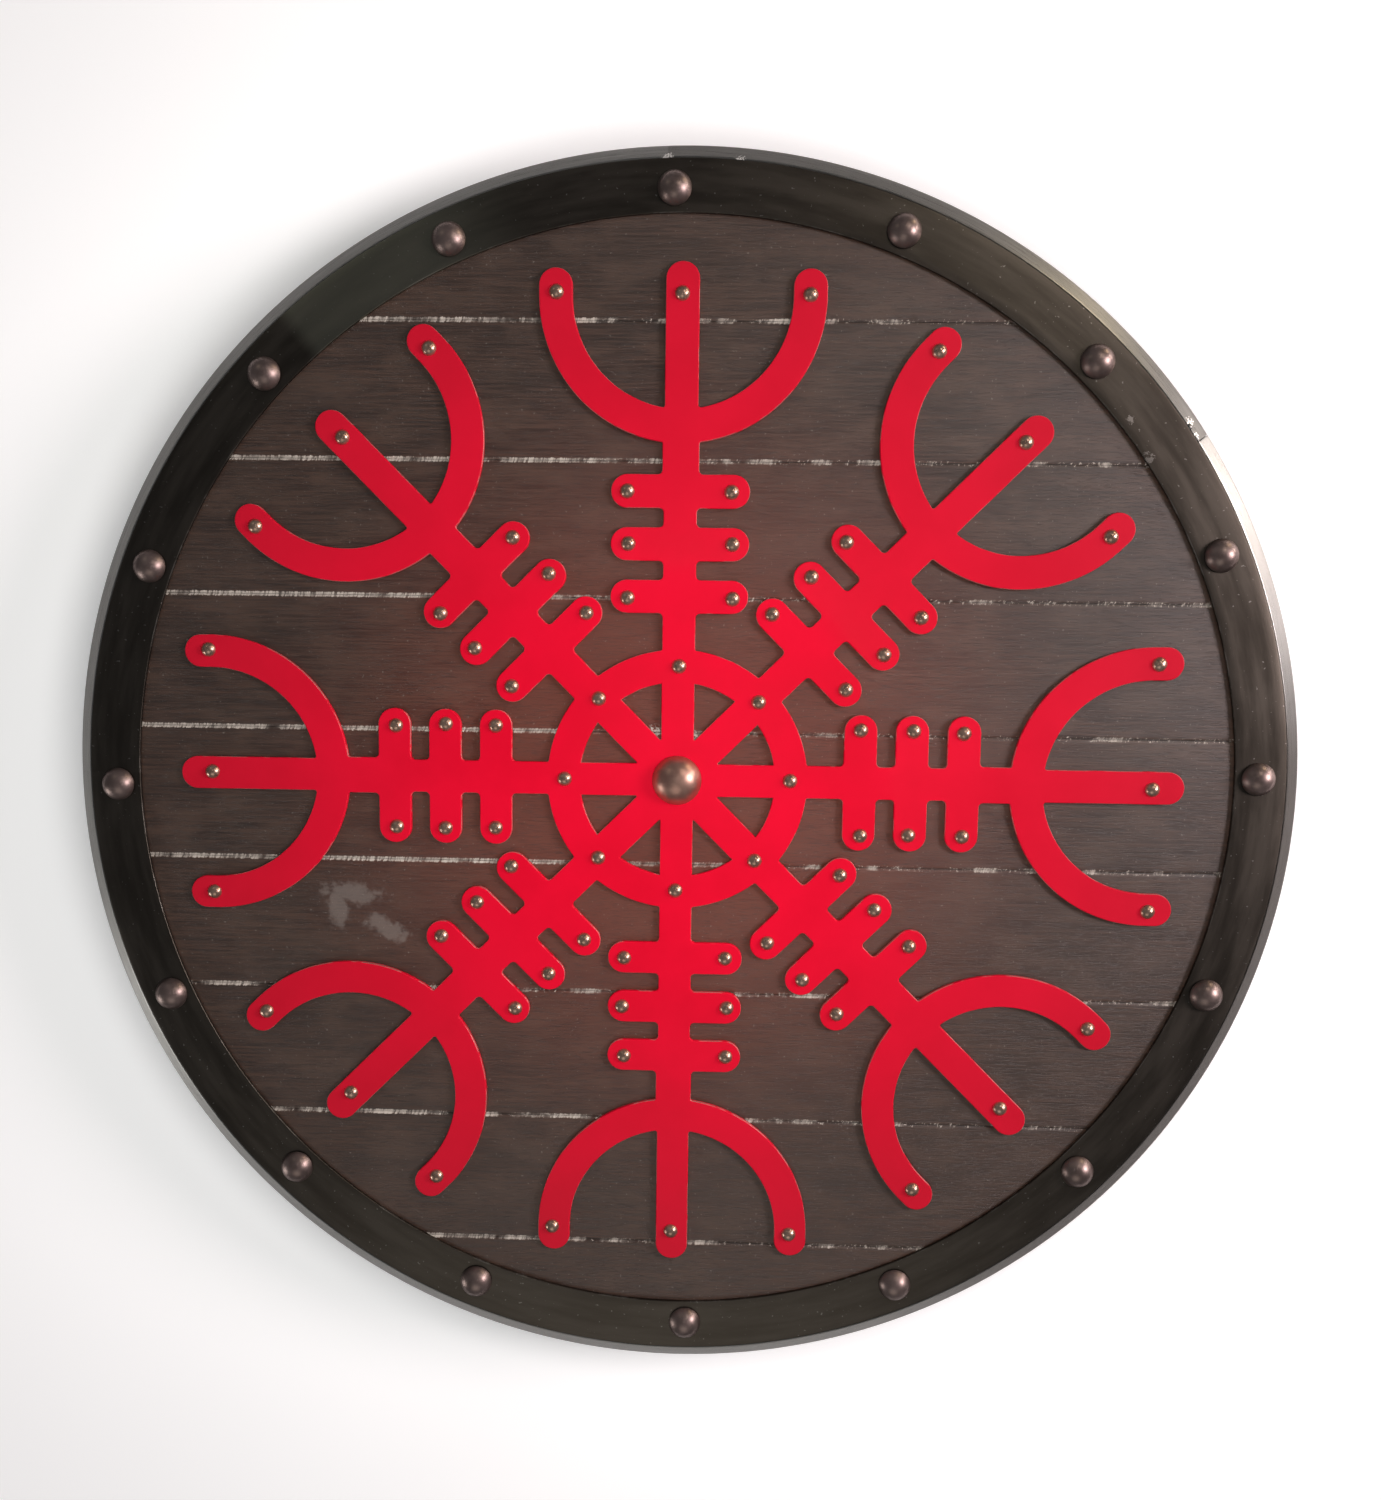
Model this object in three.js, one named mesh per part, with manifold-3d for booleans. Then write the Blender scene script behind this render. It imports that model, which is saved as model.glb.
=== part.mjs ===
// Wooden round shield, lying on its back with its face up.
// Millimetres. +Z points out of the face, +Y is up and +X right for someone who faces the shield.
// The origin is on the ground, under the middle of the rim.
import * as THREE from "three";
import { mergeVertices } from "three/addons/utils/BufferGeometryUtils.js";
import Module from "manifold-3d";

const wasm = await Module();
wasm.setup();

// Clearance between pieces that touch
const FIT_GAP = 0.3;

// Steel rim: a flat flange on the face, and a hoop that bevels off it and folds round the edge
const OUTER_RADIUS = 300;
const RIM_THICKNESS = 1.5;
const FLANGE_WIDTH = 24.5;
const BEVEL_WIDTH = 8;
const BEVEL_DEPTH = 6;
const RETURN_WIDTH = 9;
const HOOP_JOINT_ANGLE = 34.3;
const HOOP_JOINT_GAP = 0.6;
const RIM_SIDES = 72;

// Board of planks, the middle one a little below the middle of the shield
const BOARD_THICKNESS = 12;
const PLANKS = 9;
const OUTER_PLANK_EXTRA = 5.25;
const PLANK_OFFSET = -8.9;
const SEAM_GAP = 0.5;
const SEAM_CHAMFER = 0.8;

// Red emblem cut from sheet steel, nailed on slightly off the middle of the rim
const EMBLEM_THICKNESS = 2;
const EMBLEM_MARGIN = 22.1;
const EMBLEM_OFFSET_X = -1.4;
const EMBLEM_OFFSET_Y = 0.7;
const ARMS = 8;
const BARS = 3;

// The ornament's strokes and places, as shares of its own reach from middle to tip
const STROKE_SHARE = 0.0652;
const RING_SHARE = 0.227;
const RING_NAIL_SHARE = 0.2249;
const FIRST_BAR_SHARE = 0.3627;
const BAR_PITCH_SHARE = 0.1019;
const BAR_LENGTH_SHARE = 0.2714;
const BAR_NAIL_SHARE = 0.1031;
const FORK_MIDDLE_SHARE = 0.9352;
const FORK_RADIUS_SHARE = 0.2445;
const FORK_RUN_SHARE = 0.0191;
const FORK_NAIL_SHARE = 0.9385;

// Domed nails and studs
const NAIL_DIAMETER = 7.2;
const NAIL_HEIGHT = 2.9;
const NAIL_DEPTH = 0.5;
const RIM_STUDS = 16;
const RIM_STUD_TURN = 1.2;
const RIM_STUD_OFFSET = 1.2;
const RIM_STUD_DIAMETER = 16;
const RIM_STUD_HEIGHT = 6.2;
const CENTRE_STUD_DIAMETER = 24;
const CENTRE_STUD_HEIGHT = 9;

// Back: two battens across the planks, and a grip let into them
const BATTEN_HEIGHT = 44;
const BATTEN_END_THICKNESS = 14;
const BATTEN_WIDTH = 34;
const BATTEN_PITCH = 180;
const BATTEN_END_GAP = 12;
const BATTEN_END_CHAMFER = 6;
const SADDLE_LENGTH = 150;
const SADDLE_RAMP_LENGTH = 34;
const GRIP_WIDTH = 30;
const GRIP_THICKNESS = 16;
const GRIP_EDGE_RADIUS = 6.5;
const GRIP_OVERHANG_LENGTH = 12;
const SCREW_DIAMETER = 9;
const SCREW_HEIGHT = 2.6;
const SCREWS_PER_END = 3;
const SCREW_END_GAP = 11;

// How far a straight facet may cut inside a round outline
const ARC_TOLERANCE = 0.5;
// Flat faces whose corners are this true are joined to one
const FLATNESS_TOLERANCE = 0.001;

// Radii and heights that follow from the sizes above
const CREASE_RADIUS = OUTER_RADIUS - BEVEL_WIDTH;
const FLANGE_INNER_RADIUS = CREASE_RADIUS - FLANGE_WIDTH;
const BOARD_BACK = BATTEN_HEIGHT + FIT_GAP;
const BOARD_FACE = BOARD_BACK + BOARD_THICKNESS;
const BOARD_RADIUS = OUTER_RADIUS - RIM_THICKNESS - FIT_GAP;
const FLANGE_BACK = BOARD_FACE + FIT_GAP;
const FLANGE_FACE = FLANGE_BACK + RIM_THICKNESS;
const HOOP_BACK = BOARD_BACK - FIT_GAP - RIM_THICKNESS;
const EMBLEM_BACK = BOARD_FACE + FIT_GAP;
const EMBLEM_FACE = EMBLEM_BACK + EMBLEM_THICKNESS;
const EMBLEM_REACH = FLANGE_INNER_RADIUS - EMBLEM_MARGIN;

const plankStain = { color: 0x2c2420, roughness: 0.6, metalness: 0 };
const battenOak = { color: 0x3a2c22, roughness: 0.7, metalness: 0 };
const blackSteel = { color: 0x2a2826, roughness: 0.45, metalness: 0.8 };
const brushedSteel = { color: 0x86867f, roughness: 0.4, metalness: 0.9 };
const redPaint = { color: 0xc8122c, roughness: 0.5, metalness: 0 };
const darkCopper = { color: 0x55434a, roughness: 0.35, metalness: 0.9 };
const brownCopper = { color: 0x6b4742, roughness: 0.35, metalness: 0.9 };
const screwSteel = { color: 0x4c4a48, roughness: 0.4, metalness: 0.9 };

const shield = new THREE.Group();

// Names a geometry, gives it its finish and puts it in the shield
function piece(name, geometry, finish, x = 0, y = 0, z = 0) {
  const mesh = new THREE.Mesh(geometry, new THREE.MeshStandardMaterial(finish));
  mesh.name = name;
  mesh.position.set(x, y, z);
  shield.add(mesh);
}

// A closed geometry as a solid that can be joined to others and cut
function solidOf(geometry) {
  const bare = geometry.clone();
  bare.deleteAttribute("normal");
  bare.deleteAttribute("uv");
  const merged = mergeVertices(bare);
  const vertProperties = new Float32Array(merged.getAttribute("position").array);
  const triVerts = new Uint32Array(merged.index.array);
  return new wasm.Manifold(new wasm.Mesh({ numProp: 3, vertProperties, triVerts }));
}

// The geometry of a joined or cut solid
function geometryOf(solid) {
  const mesh = solid.getMesh();
  const geometry = new THREE.BufferGeometry();
  geometry.setAttribute("position", new THREE.BufferAttribute(mesh.vertProperties, 3));
  geometry.setIndex(new THREE.BufferAttribute(mesh.triVerts, 1));
  geometry.computeVertexNormals();
  return geometry;
}

// A profile of [radius, height] pairs turned about the Z axis
function turned(profile, sides) {
  const points = profile.map(([radius, height]) => new THREE.Vector2(radius, height));
  return new THREE.LatheGeometry(points, sides).rotateX(Math.PI / 2);
}

// A flat outline raised from z = 0 to its thickness
function sheetOf(outline, thickness) {
  return new THREE.ExtrudeGeometry(outline, { depth: thickness, bevelEnabled: false });
}

// An outline of [y, z] pairs drawn out along X, from -length / 2 to length / 2
function drawnAlongX(outline, length) {
  const shape = new THREE.Shape(outline.map(([y, z]) => new THREE.Vector2(y, z)));
  const geometry = sheetOf(shape, length).translate(0, 0, -length / 2);
  const [x, y, z] = [[1, 0, 0], [0, 1, 0], [0, 0, 1]].map((axis) => new THREE.Vector3(...axis));
  return geometry.applyMatrix4(new THREE.Matrix4().makeBasis(y, z, x));
}

// Points of a circular arc, with as many facets as the tolerance asks for
function arc(cx, cy, radius, from, to) {
  const widest = 2 * Math.acos(1 - Math.min(ARC_TOLERANCE / radius, 0.5));
  const steps = Math.max(2, Math.ceil(Math.abs(to - from) / widest));
  const points = [];
  for (let i = 0; i <= steps; i++) {
    const angle = from + ((to - from) * i) / steps;
    points.push(new THREE.Vector2(cx + radius * Math.cos(angle), cy + radius * Math.sin(angle)));
  }
  return points;
}

// A low dome standing on z = 0, its side an arc of a circle in a few steps
function dome(diameter, height, sides, steps) {
  const opening = 2 * Math.atan((2 * height) / diameter);
  const ball = diameter / 2 / Math.sin(opening);
  const profile = [[0, 0]];
  for (let i = 0; i < steps; i++) {
    const angle = opening * (1 - i / steps);
    profile.push([ball * Math.sin(angle), height - ball * (1 - Math.cos(angle))]);
  }
  profile.push([0, height]);
  return turned(profile, sides);
}

// Height of the hoop's bevel at a radius, on a face this deep under its outer one
function bevelHeight(radius, depth) {
  const slopeLength = Math.hypot(BEVEL_WIDTH, BEVEL_DEPTH);
  const fall = (radius - CREASE_RADIUS) * BEVEL_DEPTH + depth * slopeLength;
  return FLANGE_FACE - fall / BEVEL_WIDTH;
}

// Flange
function rimFlange() {
  const profile = [
    [FLANGE_INNER_RADIUS, FLANGE_BACK],
    [CREASE_RADIUS, FLANGE_BACK],
    [CREASE_RADIUS, FLANGE_FACE],
    [FLANGE_INNER_RADIUS, FLANGE_FACE],
    [FLANGE_INNER_RADIUS, FLANGE_BACK],
  ];
  return turned(profile, RIM_SIDES);
}

// Hoop, bent from one strip whose ends butt together at the joint
function rimHoop() {
  const inner = OUTER_RADIUS - RIM_THICKNESS;
  const lip = OUTER_RADIUS - RETURN_WIDTH;
  const start = CREASE_RADIUS + FIT_GAP;
  const profile = [
    [start, bevelHeight(start, RIM_THICKNESS)],
    [inner, bevelHeight(inner, RIM_THICKNESS)],
    [inner, HOOP_BACK + RIM_THICKNESS],
    [lip, HOOP_BACK + RIM_THICKNESS],
    [lip, HOOP_BACK],
    [OUTER_RADIUS, HOOP_BACK],
    [OUTER_RADIUS, bevelHeight(OUTER_RADIUS, 0)],
    [start, bevelHeight(start, 0)],
    [start, bevelHeight(start, RIM_THICKNESS)],
  ];
  const tall = FLANGE_FACE - HOOP_BACK;
  const cut = new THREE.BoxGeometry(RETURN_WIDTH + BEVEL_WIDTH, HOOP_JOINT_GAP, 2 * tall);
  cut.translate(OUTER_RADIUS, 0, HOOP_BACK + tall / 2);
  cut.rotateZ(THREE.MathUtils.degToRad(HOOP_JOINT_ANGLE));
  return geometryOf(solidOf(turned(profile, RIM_SIDES)).subtract(solidOf(cut)));
}

// The whole board as one disc that fits inside the hoop
function boardDisc() {
  const depth = OUTER_RADIUS - BOARD_RADIUS;
  const slopeLength = Math.hypot(BEVEL_WIDTH, BEVEL_DEPTH);
  const faceEdge = CREASE_RADIUS - (depth * (slopeLength - BEVEL_WIDTH)) / BEVEL_DEPTH;
  const profile = [
    [0, BOARD_BACK],
    [BOARD_RADIUS, BOARD_BACK],
    [BOARD_RADIUS, bevelHeight(BOARD_RADIUS, depth)],
    [faceEdge, BOARD_FACE],
    [0, BOARD_FACE],
  ];
  return solidOf(turned(profile, RIM_SIDES));
}

// The top and bottom edge of each plank, the outermost ones reaching past the board
function plankEdges() {
  const pitch = (2 * (BOARD_RADIUS - OUTER_PLANK_EXTRA)) / PLANKS;
  const edges = [];
  for (let i = 0; i < PLANKS; i++) {
    const middle = PLANK_OFFSET + ((PLANKS - 1) / 2 - i) * pitch;
    const half = (pitch - SEAM_GAP) / 2;
    const top = i === 0 ? OUTER_RADIUS : middle + half;
    const bottom = i === PLANKS - 1 ? -OUTER_RADIUS : middle - half;
    edges.push([top, bottom]);
  }
  return edges;
}

// A plank: its section with broken edges on the face, cut round by the disc
function plank(top, bottom, disc) {
  const under = BOARD_BACK - SEAM_CHAMFER;
  const over = BOARD_FACE + SEAM_CHAMFER;
  const section = [
    [bottom, under],
    [top, under],
    [top, BOARD_FACE - SEAM_CHAMFER],
    [top - SEAM_CHAMFER, BOARD_FACE],
    [top - SEAM_CHAMFER, over],
    [bottom + SEAM_CHAMFER, over],
    [bottom + SEAM_CHAMFER, BOARD_FACE],
    [bottom, BOARD_FACE - SEAM_CHAMFER],
  ];
  return geometryOf(solidOf(drawnAlongX(section, 2 * OUTER_RADIUS)).intersect(disc));
}

// A bar with round ends, between two places on the middle line of its stroke
function roundBar(fromX, fromY, toX, toY, width) {
  const along = Math.atan2(toY - fromY, toX - fromX);
  const quarter = Math.PI / 2;
  const start = arc(fromX, fromY, width / 2, along + quarter, along + 3 * quarter);
  const end = arc(toX, toY, width / 2, along - quarter, along + quarter);
  return new THREE.Shape([...start, ...end]);
}

// The fork's two side tines: a half circle open outwards, each end straight and then round
function fork() {
  const middle = FORK_MIDDLE_SHARE * EMBLEM_REACH;
  const radius = FORK_RADIUS_SHARE * EMBLEM_REACH;
  const run = FORK_RUN_SHARE * EMBLEM_REACH;
  const half = (STROKE_SHARE * EMBLEM_REACH) / 2;
  const quarter = Math.PI / 2;
  return new THREE.Shape([
    ...arc(middle, 0, radius + half, quarter, 3 * quarter),
    ...arc(middle + run, -radius, half, -quarter, quarter),
    ...arc(middle, 0, radius - half, 3 * quarter, quarter),
    ...arc(middle + run, radius, half, -quarter, quarter),
  ]);
}

// The outlines of one arm, which lies along +X
function armOutlines() {
  const stroke = STROKE_SHARE * EMBLEM_REACH;
  const barEnd = (BAR_LENGTH_SHARE * EMBLEM_REACH - stroke) / 2;
  const outlines = [roundBar(0, 0, EMBLEM_REACH - stroke / 2, 0, stroke), fork()];
  for (let bar = 0; bar < BARS; bar++) {
    const x = (FIRST_BAR_SHARE + bar * BAR_PITCH_SHARE) * EMBLEM_REACH;
    outlines.push(roundBar(x, -barEnd, x, barEnd, stroke));
  }
  return outlines;
}

// The places of one arm's nails, which lies along +X
function armNails() {
  const barSide = BAR_NAIL_SHARE * EMBLEM_REACH;
  const forkSide = FORK_RADIUS_SHARE * EMBLEM_REACH;
  const places = [[RING_NAIL_SHARE * EMBLEM_REACH, 0]];
  for (let bar = 0; bar < BARS; bar++) {
    const x = (FIRST_BAR_SHARE + bar * BAR_PITCH_SHARE) * EMBLEM_REACH;
    places.push([x, -barSide], [x, barSide]);
  }
  for (const y of [-forkSide, 0, forkSide]) {
    places.push([FORK_NAIL_SHARE * EMBLEM_REACH, y]);
  }
  return places;
}

// The ring round the middle
function emblemRing() {
  const outer = (RING_SHARE + STROKE_SHARE / 2) * EMBLEM_REACH;
  const inner = (RING_SHARE - STROKE_SHARE / 2) * EMBLEM_REACH;
  const ring = new THREE.Shape(arc(0, 0, outer, 0, 2 * Math.PI).slice(1));
  ring.holes.push(new THREE.Path(arc(0, 0, inner, 0, 2 * Math.PI).slice(1)));
  return ring;
}

// Emblem with its nails, standing on z = 0
function emblem() {
  const nail = dome(NAIL_DIAMETER, NAIL_HEIGHT + NAIL_DEPTH, 6, 2);
  nail.translate(0, 0, EMBLEM_THICKNESS - NAIL_DEPTH);
  const parts = [solidOf(sheetOf(emblemRing(), EMBLEM_THICKNESS))];
  for (let arm = 0; arm < ARMS; arm++) {
    const turn = (arm * 2 * Math.PI) / ARMS;
    for (const outline of armOutlines()) {
      parts.push(solidOf(sheetOf(outline, EMBLEM_THICKNESS).rotateZ(turn)));
    }
    for (const [x, y] of armNails()) {
      parts.push(solidOf(nail.clone().translate(x, y, 0).rotateZ(turn)));
    }
  }
  const joined = parts.reduce((whole, part) => whole.add(part));
  return geometryOf(joined.asOriginal().simplify(FLATNESS_TOLERANCE));
}

// Half the length of a batten, which stops short of the hoop's return
function battenHalfLength() {
  const clear = OUTER_RADIUS - RETURN_WIDTH - BATTEN_END_GAP;
  return Math.sqrt(clear * clear - ((BATTEN_PITCH + BATTEN_WIDTH) / 2) ** 2);
}

// A batten: thin towards its ends, with a thick saddle that is notched for the grip
function batten() {
  const end = battenHalfLength();
  const thin = BATTEN_HEIGHT - BATTEN_END_THICKNESS;
  const saddle = SADDLE_LENGTH / 2;
  const notch = GRIP_WIDTH / 2 + FIT_GAP;
  const steps = 6;
  const half = [[notch, GRIP_THICKNESS + FIT_GAP], [notch, 0]];
  for (let i = 0; i <= steps; i++) {
    const rise = (1 - Math.cos((Math.PI * i) / steps)) / 2;
    half.push([saddle + (SADDLE_RAMP_LENGTH * i) / steps, thin * rise]);
  }
  half.push([end - BATTEN_END_CHAMFER, thin], [end, thin + BATTEN_END_CHAMFER], [end, BATTEN_HEIGHT]);
  const otherHalf = half.map(([y, z]) => [-y, z]).reverse();
  return drawnAlongX([...otherHalf, ...half], BATTEN_WIDTH);
}

// Grip: square where it is let into the battens, rounded where the hand goes
function grip() {
  const half = GRIP_WIDTH / 2;
  const turnIn = half - GRIP_EDGE_RADIUS;
  const rise = GRIP_THICKNESS - GRIP_EDGE_RADIUS;
  const quarter = Math.PI / 2;
  const corners = [
    arc(turnIn, GRIP_EDGE_RADIUS, GRIP_EDGE_RADIUS, -quarter, 0),
    arc(turnIn, rise, GRIP_EDGE_RADIUS, 0, quarter),
    arc(-turnIn, rise, GRIP_EDGE_RADIUS, quarter, 2 * quarter),
    arc(-turnIn, GRIP_EDGE_RADIUS, GRIP_EDGE_RADIUS, 2 * quarter, 3 * quarter),
  ];
  const round = corners.flat().map((point) => [point.x, point.y]);
  const square = [[-half, 0], [half, 0], [half, GRIP_THICKNESS], [-half, GRIP_THICKNESS]];
  const open = BATTEN_PITCH - BATTEN_WIDTH;
  const whole = BATTEN_PITCH + BATTEN_WIDTH + 2 * GRIP_OVERHANG_LENGTH;
  const lap = (whole - open) / 2;
  const parts = [-1, 1].map((side) => {
    return solidOf(drawnAlongX(square, lap).translate((side * (open + lap)) / 2, 0, 0));
  });
  const handle = solidOf(drawnAlongX(round, open + lap));
  return geometryOf(handle.add(parts[0]).add(parts[1]));
}

// The screws of a batten, spread over its two thin ends
function screwPlaces() {
  const first = SADDLE_LENGTH / 2 + SADDLE_RAMP_LENGTH + SCREW_END_GAP;
  const last = battenHalfLength() - SCREW_END_GAP;
  const step = (last - first) / Math.max(SCREWS_PER_END - 1, 1);
  const places = [];
  for (const side of [1, -1]) {
    for (let i = 0; i < SCREWS_PER_END; i++) {
      places.push(side * (first + i * step));
    }
  }
  return places;
}

const disc = boardDisc();
plankEdges().forEach(([top, bottom], i) => {
  piece(`plank_${i + 1}`, plank(top, bottom, disc), plankStain);
});

piece("rim_flange", rimFlange(), blackSteel);
piece("rim_hoop", rimHoop(), brushedSteel);

piece("emblem", emblem(), redPaint, EMBLEM_OFFSET_X, EMBLEM_OFFSET_Y, EMBLEM_BACK);

const rimStud = dome(RIM_STUD_DIAMETER, RIM_STUD_HEIGHT, 10, 3);
const studCircle = (FLANGE_INNER_RADIUS + CREASE_RADIUS) / 2 - RIM_STUD_OFFSET;
for (let i = 0; i < RIM_STUDS; i++) {
  const angle = THREE.MathUtils.degToRad(RIM_STUD_TURN) + (i * 2 * Math.PI) / RIM_STUDS;
  const name = `rim_stud_${String(i + 1).padStart(2, "0")}`;
  const x = studCircle * Math.cos(angle);
  const y = studCircle * Math.sin(angle);
  piece(name, rimStud, darkCopper, x, y, FLANGE_FACE + FIT_GAP);
}

const centreStud = dome(CENTRE_STUD_DIAMETER, CENTRE_STUD_HEIGHT, 14, 3);
piece("centre_stud", centreStud, brownCopper, EMBLEM_OFFSET_X, EMBLEM_OFFSET_Y, EMBLEM_FACE + FIT_GAP);

const screw = dome(SCREW_DIAMETER, SCREW_HEIGHT, 8, 2).rotateX(Math.PI);
const screwFace = BATTEN_HEIGHT - BATTEN_END_THICKNESS;
[["left", -1], ["right", 1]].forEach(([side, sign]) => {
  const x = (sign * BATTEN_PITCH) / 2;
  piece(`batten_${side}`, batten(), battenOak, x);
  screwPlaces().forEach((y, i) => {
    piece(`screw_${side}_${i + 1}`, screw, screwSteel, x, y, screwFace - FIT_GAP);
  });
});

piece("grip", grip(), battenOak);

export default shield;
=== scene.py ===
"""The looks of a round wooden shield: dark planks, a steel rim, dome studs and a red eight-armed emblem.

Metres, in the frame of the solids: +Z points out of the face, +Y is up and +X right in the photograph.
"""
import math

import bpy
import numpy as np
from mathutils import Euler, Matrix, Vector
from mathutils.geometry import tessellate_polygon


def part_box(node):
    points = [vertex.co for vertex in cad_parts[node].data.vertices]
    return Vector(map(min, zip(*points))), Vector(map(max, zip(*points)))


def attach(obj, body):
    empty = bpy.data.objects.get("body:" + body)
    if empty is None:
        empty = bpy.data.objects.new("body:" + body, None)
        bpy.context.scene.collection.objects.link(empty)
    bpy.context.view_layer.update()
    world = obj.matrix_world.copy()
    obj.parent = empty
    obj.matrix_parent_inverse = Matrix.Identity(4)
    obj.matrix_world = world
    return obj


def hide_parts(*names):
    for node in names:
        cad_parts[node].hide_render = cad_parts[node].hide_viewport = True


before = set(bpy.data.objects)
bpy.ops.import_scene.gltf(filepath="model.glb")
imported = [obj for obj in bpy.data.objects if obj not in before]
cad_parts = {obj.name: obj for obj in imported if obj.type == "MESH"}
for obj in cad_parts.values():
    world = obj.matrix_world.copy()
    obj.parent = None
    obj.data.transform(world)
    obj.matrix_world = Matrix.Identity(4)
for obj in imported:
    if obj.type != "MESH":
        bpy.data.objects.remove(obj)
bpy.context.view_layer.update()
MM = 0.001
TURN = 2 * math.pi

# Sizes taken from the solids
HOOP_LOW, HOOP_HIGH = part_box("rim_hoop")
FLANGE_LOW, FLANGE_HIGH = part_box("rim_flange")
BOARD_LOW, BOARD_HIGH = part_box("plank_5")
EMBLEM_LOW, EMBLEM_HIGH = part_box("emblem")
BATTEN_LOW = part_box("batten_right")[0]
GRIP_LOW, GRIP_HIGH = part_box("grip")
OUTER_RADIUS = HOOP_HIGH.x
CREASE_RADIUS = FLANGE_HIGH.x
FLANGE_FACE = FLANGE_HIGH.z
BOARD_BACK = BOARD_LOW.z
BOARD_FACE = BOARD_HIGH.z
BOARD_RADIUS = BOARD_HIGH.x
SEAM_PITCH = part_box("plank_4")[1].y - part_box("plank_5")[1].y
FIRST_SEAM = (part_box("plank_2")[1].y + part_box("plank_1")[0].y) / 2

# Board
PLANKS = 9
BOARD_CLEARANCE = 0.1 * MM
PLANK_SPREAD = 0.17 * MM
PLANK_CROWN = 0.16 * MM
GROOVE_WIDTH = 1.15 * MM
GROOVE_DEPTH = 0.45 * MM
NICK_DEPTH = 0.5 * MM

# Rim, with its angles in degrees from +X
SHEET = 1.5 * MM
FLANGE_WIDTH = 24.5 * MM
FLANGE_INNER = CREASE_RADIUS - FLANGE_WIDTH
RETURN_WIDTH = 9 * MM
BEVEL_DEPTH = 6 * MM
BEVEL_RUN = OUTER_RADIUS - CREASE_RADIUS
FLANGE_EDGE_RADIUS = 0.35 * MM
HOOP_BEND_RADIUS = 1.6 * MM
HOOP_EDGE_RADIUS = 0.3 * MM
HOOP_JOINT = 34.3
HOOP_JOINT_GAP = 0.45 * MM
SECOND_JOINT = 91.8

# Emblem, as shares of its reach from the middle to the tips, which the solid gives
REACH = (EMBLEM_HIGH.x - EMBLEM_LOW.x) / 2
EMBLEM_X = (EMBLEM_HIGH.x + EMBLEM_LOW.x) / 2
EMBLEM_Y = (EMBLEM_HIGH.y + EMBLEM_LOW.y) / 2
PLATE_THICKNESS = 2 * MM
PLATE_BACK = EMBLEM_LOW.z
PLATE_FACE = PLATE_BACK + PLATE_THICKNESS
PLATE_EDGE_RADIUS = 0.5 * MM
FACE_BORDER = 0.25 * MM
STROKE = 0.0652
NECK = 0.0720
RING_MIDDLE = 0.2270
RING_NAIL = 0.2249
BARS = (0.3627, 0.4646, 0.5665)
BAR_LENGTH = 0.2714
BAR_NAIL = 0.1031
FORK_MIDDLE = 0.9352
FORK_RADIUS = 0.2445
FORK_RUN = 0.0191
FORK_NAIL = 0.9385
SMALL_FILLET = 0.004
GAP_FILLET = 0.0085
ARMS = 8

# Nails and studs
NAIL_RADIUS = 3.6 * MM
NAIL_HEIGHT = 2.8 * MM
NAIL_WANDER = 0.5 * MM
RIM_STUDS = 16
RIM_STUD_RADIUS = 8 * MM
RIM_STUD_HEIGHT = 6.1 * MM
CENTRE_STUD_RADIUS = 12 * MM
CENTRE_STUD_HEIGHT = 8.9 * MM
WASHER_RADIUS = 6 * MM
WASHER_THICKNESS = 1.1 * MM
STUD_END_RADIUS = 2.6 * MM
STUD_END_HEIGHT = 2.6 * MM

# Battens and grip
SADDLE = 75 * MM
SADDLE_RAMP = 34 * MM
BATTEN_THICKNESS = 14 * MM
BATTEN_CHAMFER = 6 * MM
BATTEN_EDGE_RADIUS = 1.6 * MM
NOTCH_CLEARANCE = 0.15 * MM
SCREWS = 6
SLOT_HALF_WIDTH = 0.5 * MM

# Camera, fitted to the photograph's perspective
CAMERA_PLACE = (0.0216, 0.0707, 0.6232)
CAMERA_TURN = (-5.545, 1.755, 0.765)
CAMERA_LENS = 27.98

# Light of the room, and how bright the room and floor look to the camera
ROOM_COLOUR = (0.9, 0.93, 1.0, 1)
ROOM_LIGHT = 0.12
ROOM_SEEN = 0.8
FLOOR_GLOW = 0.3
FLOOR_HALF_WIDTH = 6.0

# Colours
STAIN_DARK = (0.0115, 0.0044, 0.0020, 1)
STAIN_LIGHT = (0.042, 0.0185, 0.0098, 1)
STAIN_DEEP = (0.012, 0.0055, 0.0028, 1)
STAIN_DULL = (0.05, 0.027, 0.017, 1)
STAIN_WARM = (0.05, 0.023, 0.012, 1)
# Painted red glow of light on the board's face round the middle
PAINTED_RED_GLOW = (0.125, 0.021, 0.009, 1)
STAIN_PORES = (0.008, 0.005, 0.004, 1)
STAIN_DUSTY = (0.07, 0.045, 0.035, 1)
STAIN_RUBBED = (0.17, 0.145, 0.13, 1)
SCRAPED_WOOD = (0.33, 0.30, 0.27, 1)
# Painted shade in the gap where the planks meet
GAP_PAINTED_SHADE = (0.005, 0.004, 0.003, 1)
BARE_WOOD = (0.40, 0.355, 0.31, 1)
DUST = (0.2, 0.18, 0.16, 1)
BATTEN_DARK = (0.045, 0.025, 0.014, 1)
BATTEN_LIGHT = (0.125, 0.075, 0.043, 1)
BATTEN_PORES = (0.02, 0.012, 0.008, 1)
BATTEN_GRIME = (0.04, 0.028, 0.02, 1)
GRIP_DARK = (0.055, 0.030, 0.016, 1)
GRIP_LIGHT = (0.15, 0.09, 0.05, 1)
GRIP_HELD = (0.035, 0.020, 0.012, 1)
BLACK_STEEL_DARK = (0.060, 0.051, 0.042, 1)
BLACK_STEEL_LIGHT = (0.094, 0.081, 0.068, 1)
# Painted reflection on the flange
BLACK_STEEL_PAINTED_REFLECTION = (0.24, 0.235, 0.185, 1)
BLACK_STEEL_RUBBED = (0.5, 0.48, 0.44, 1)
BLACK_STEEL_SPECK = (0.4, 0.38, 0.35, 1)
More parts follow.
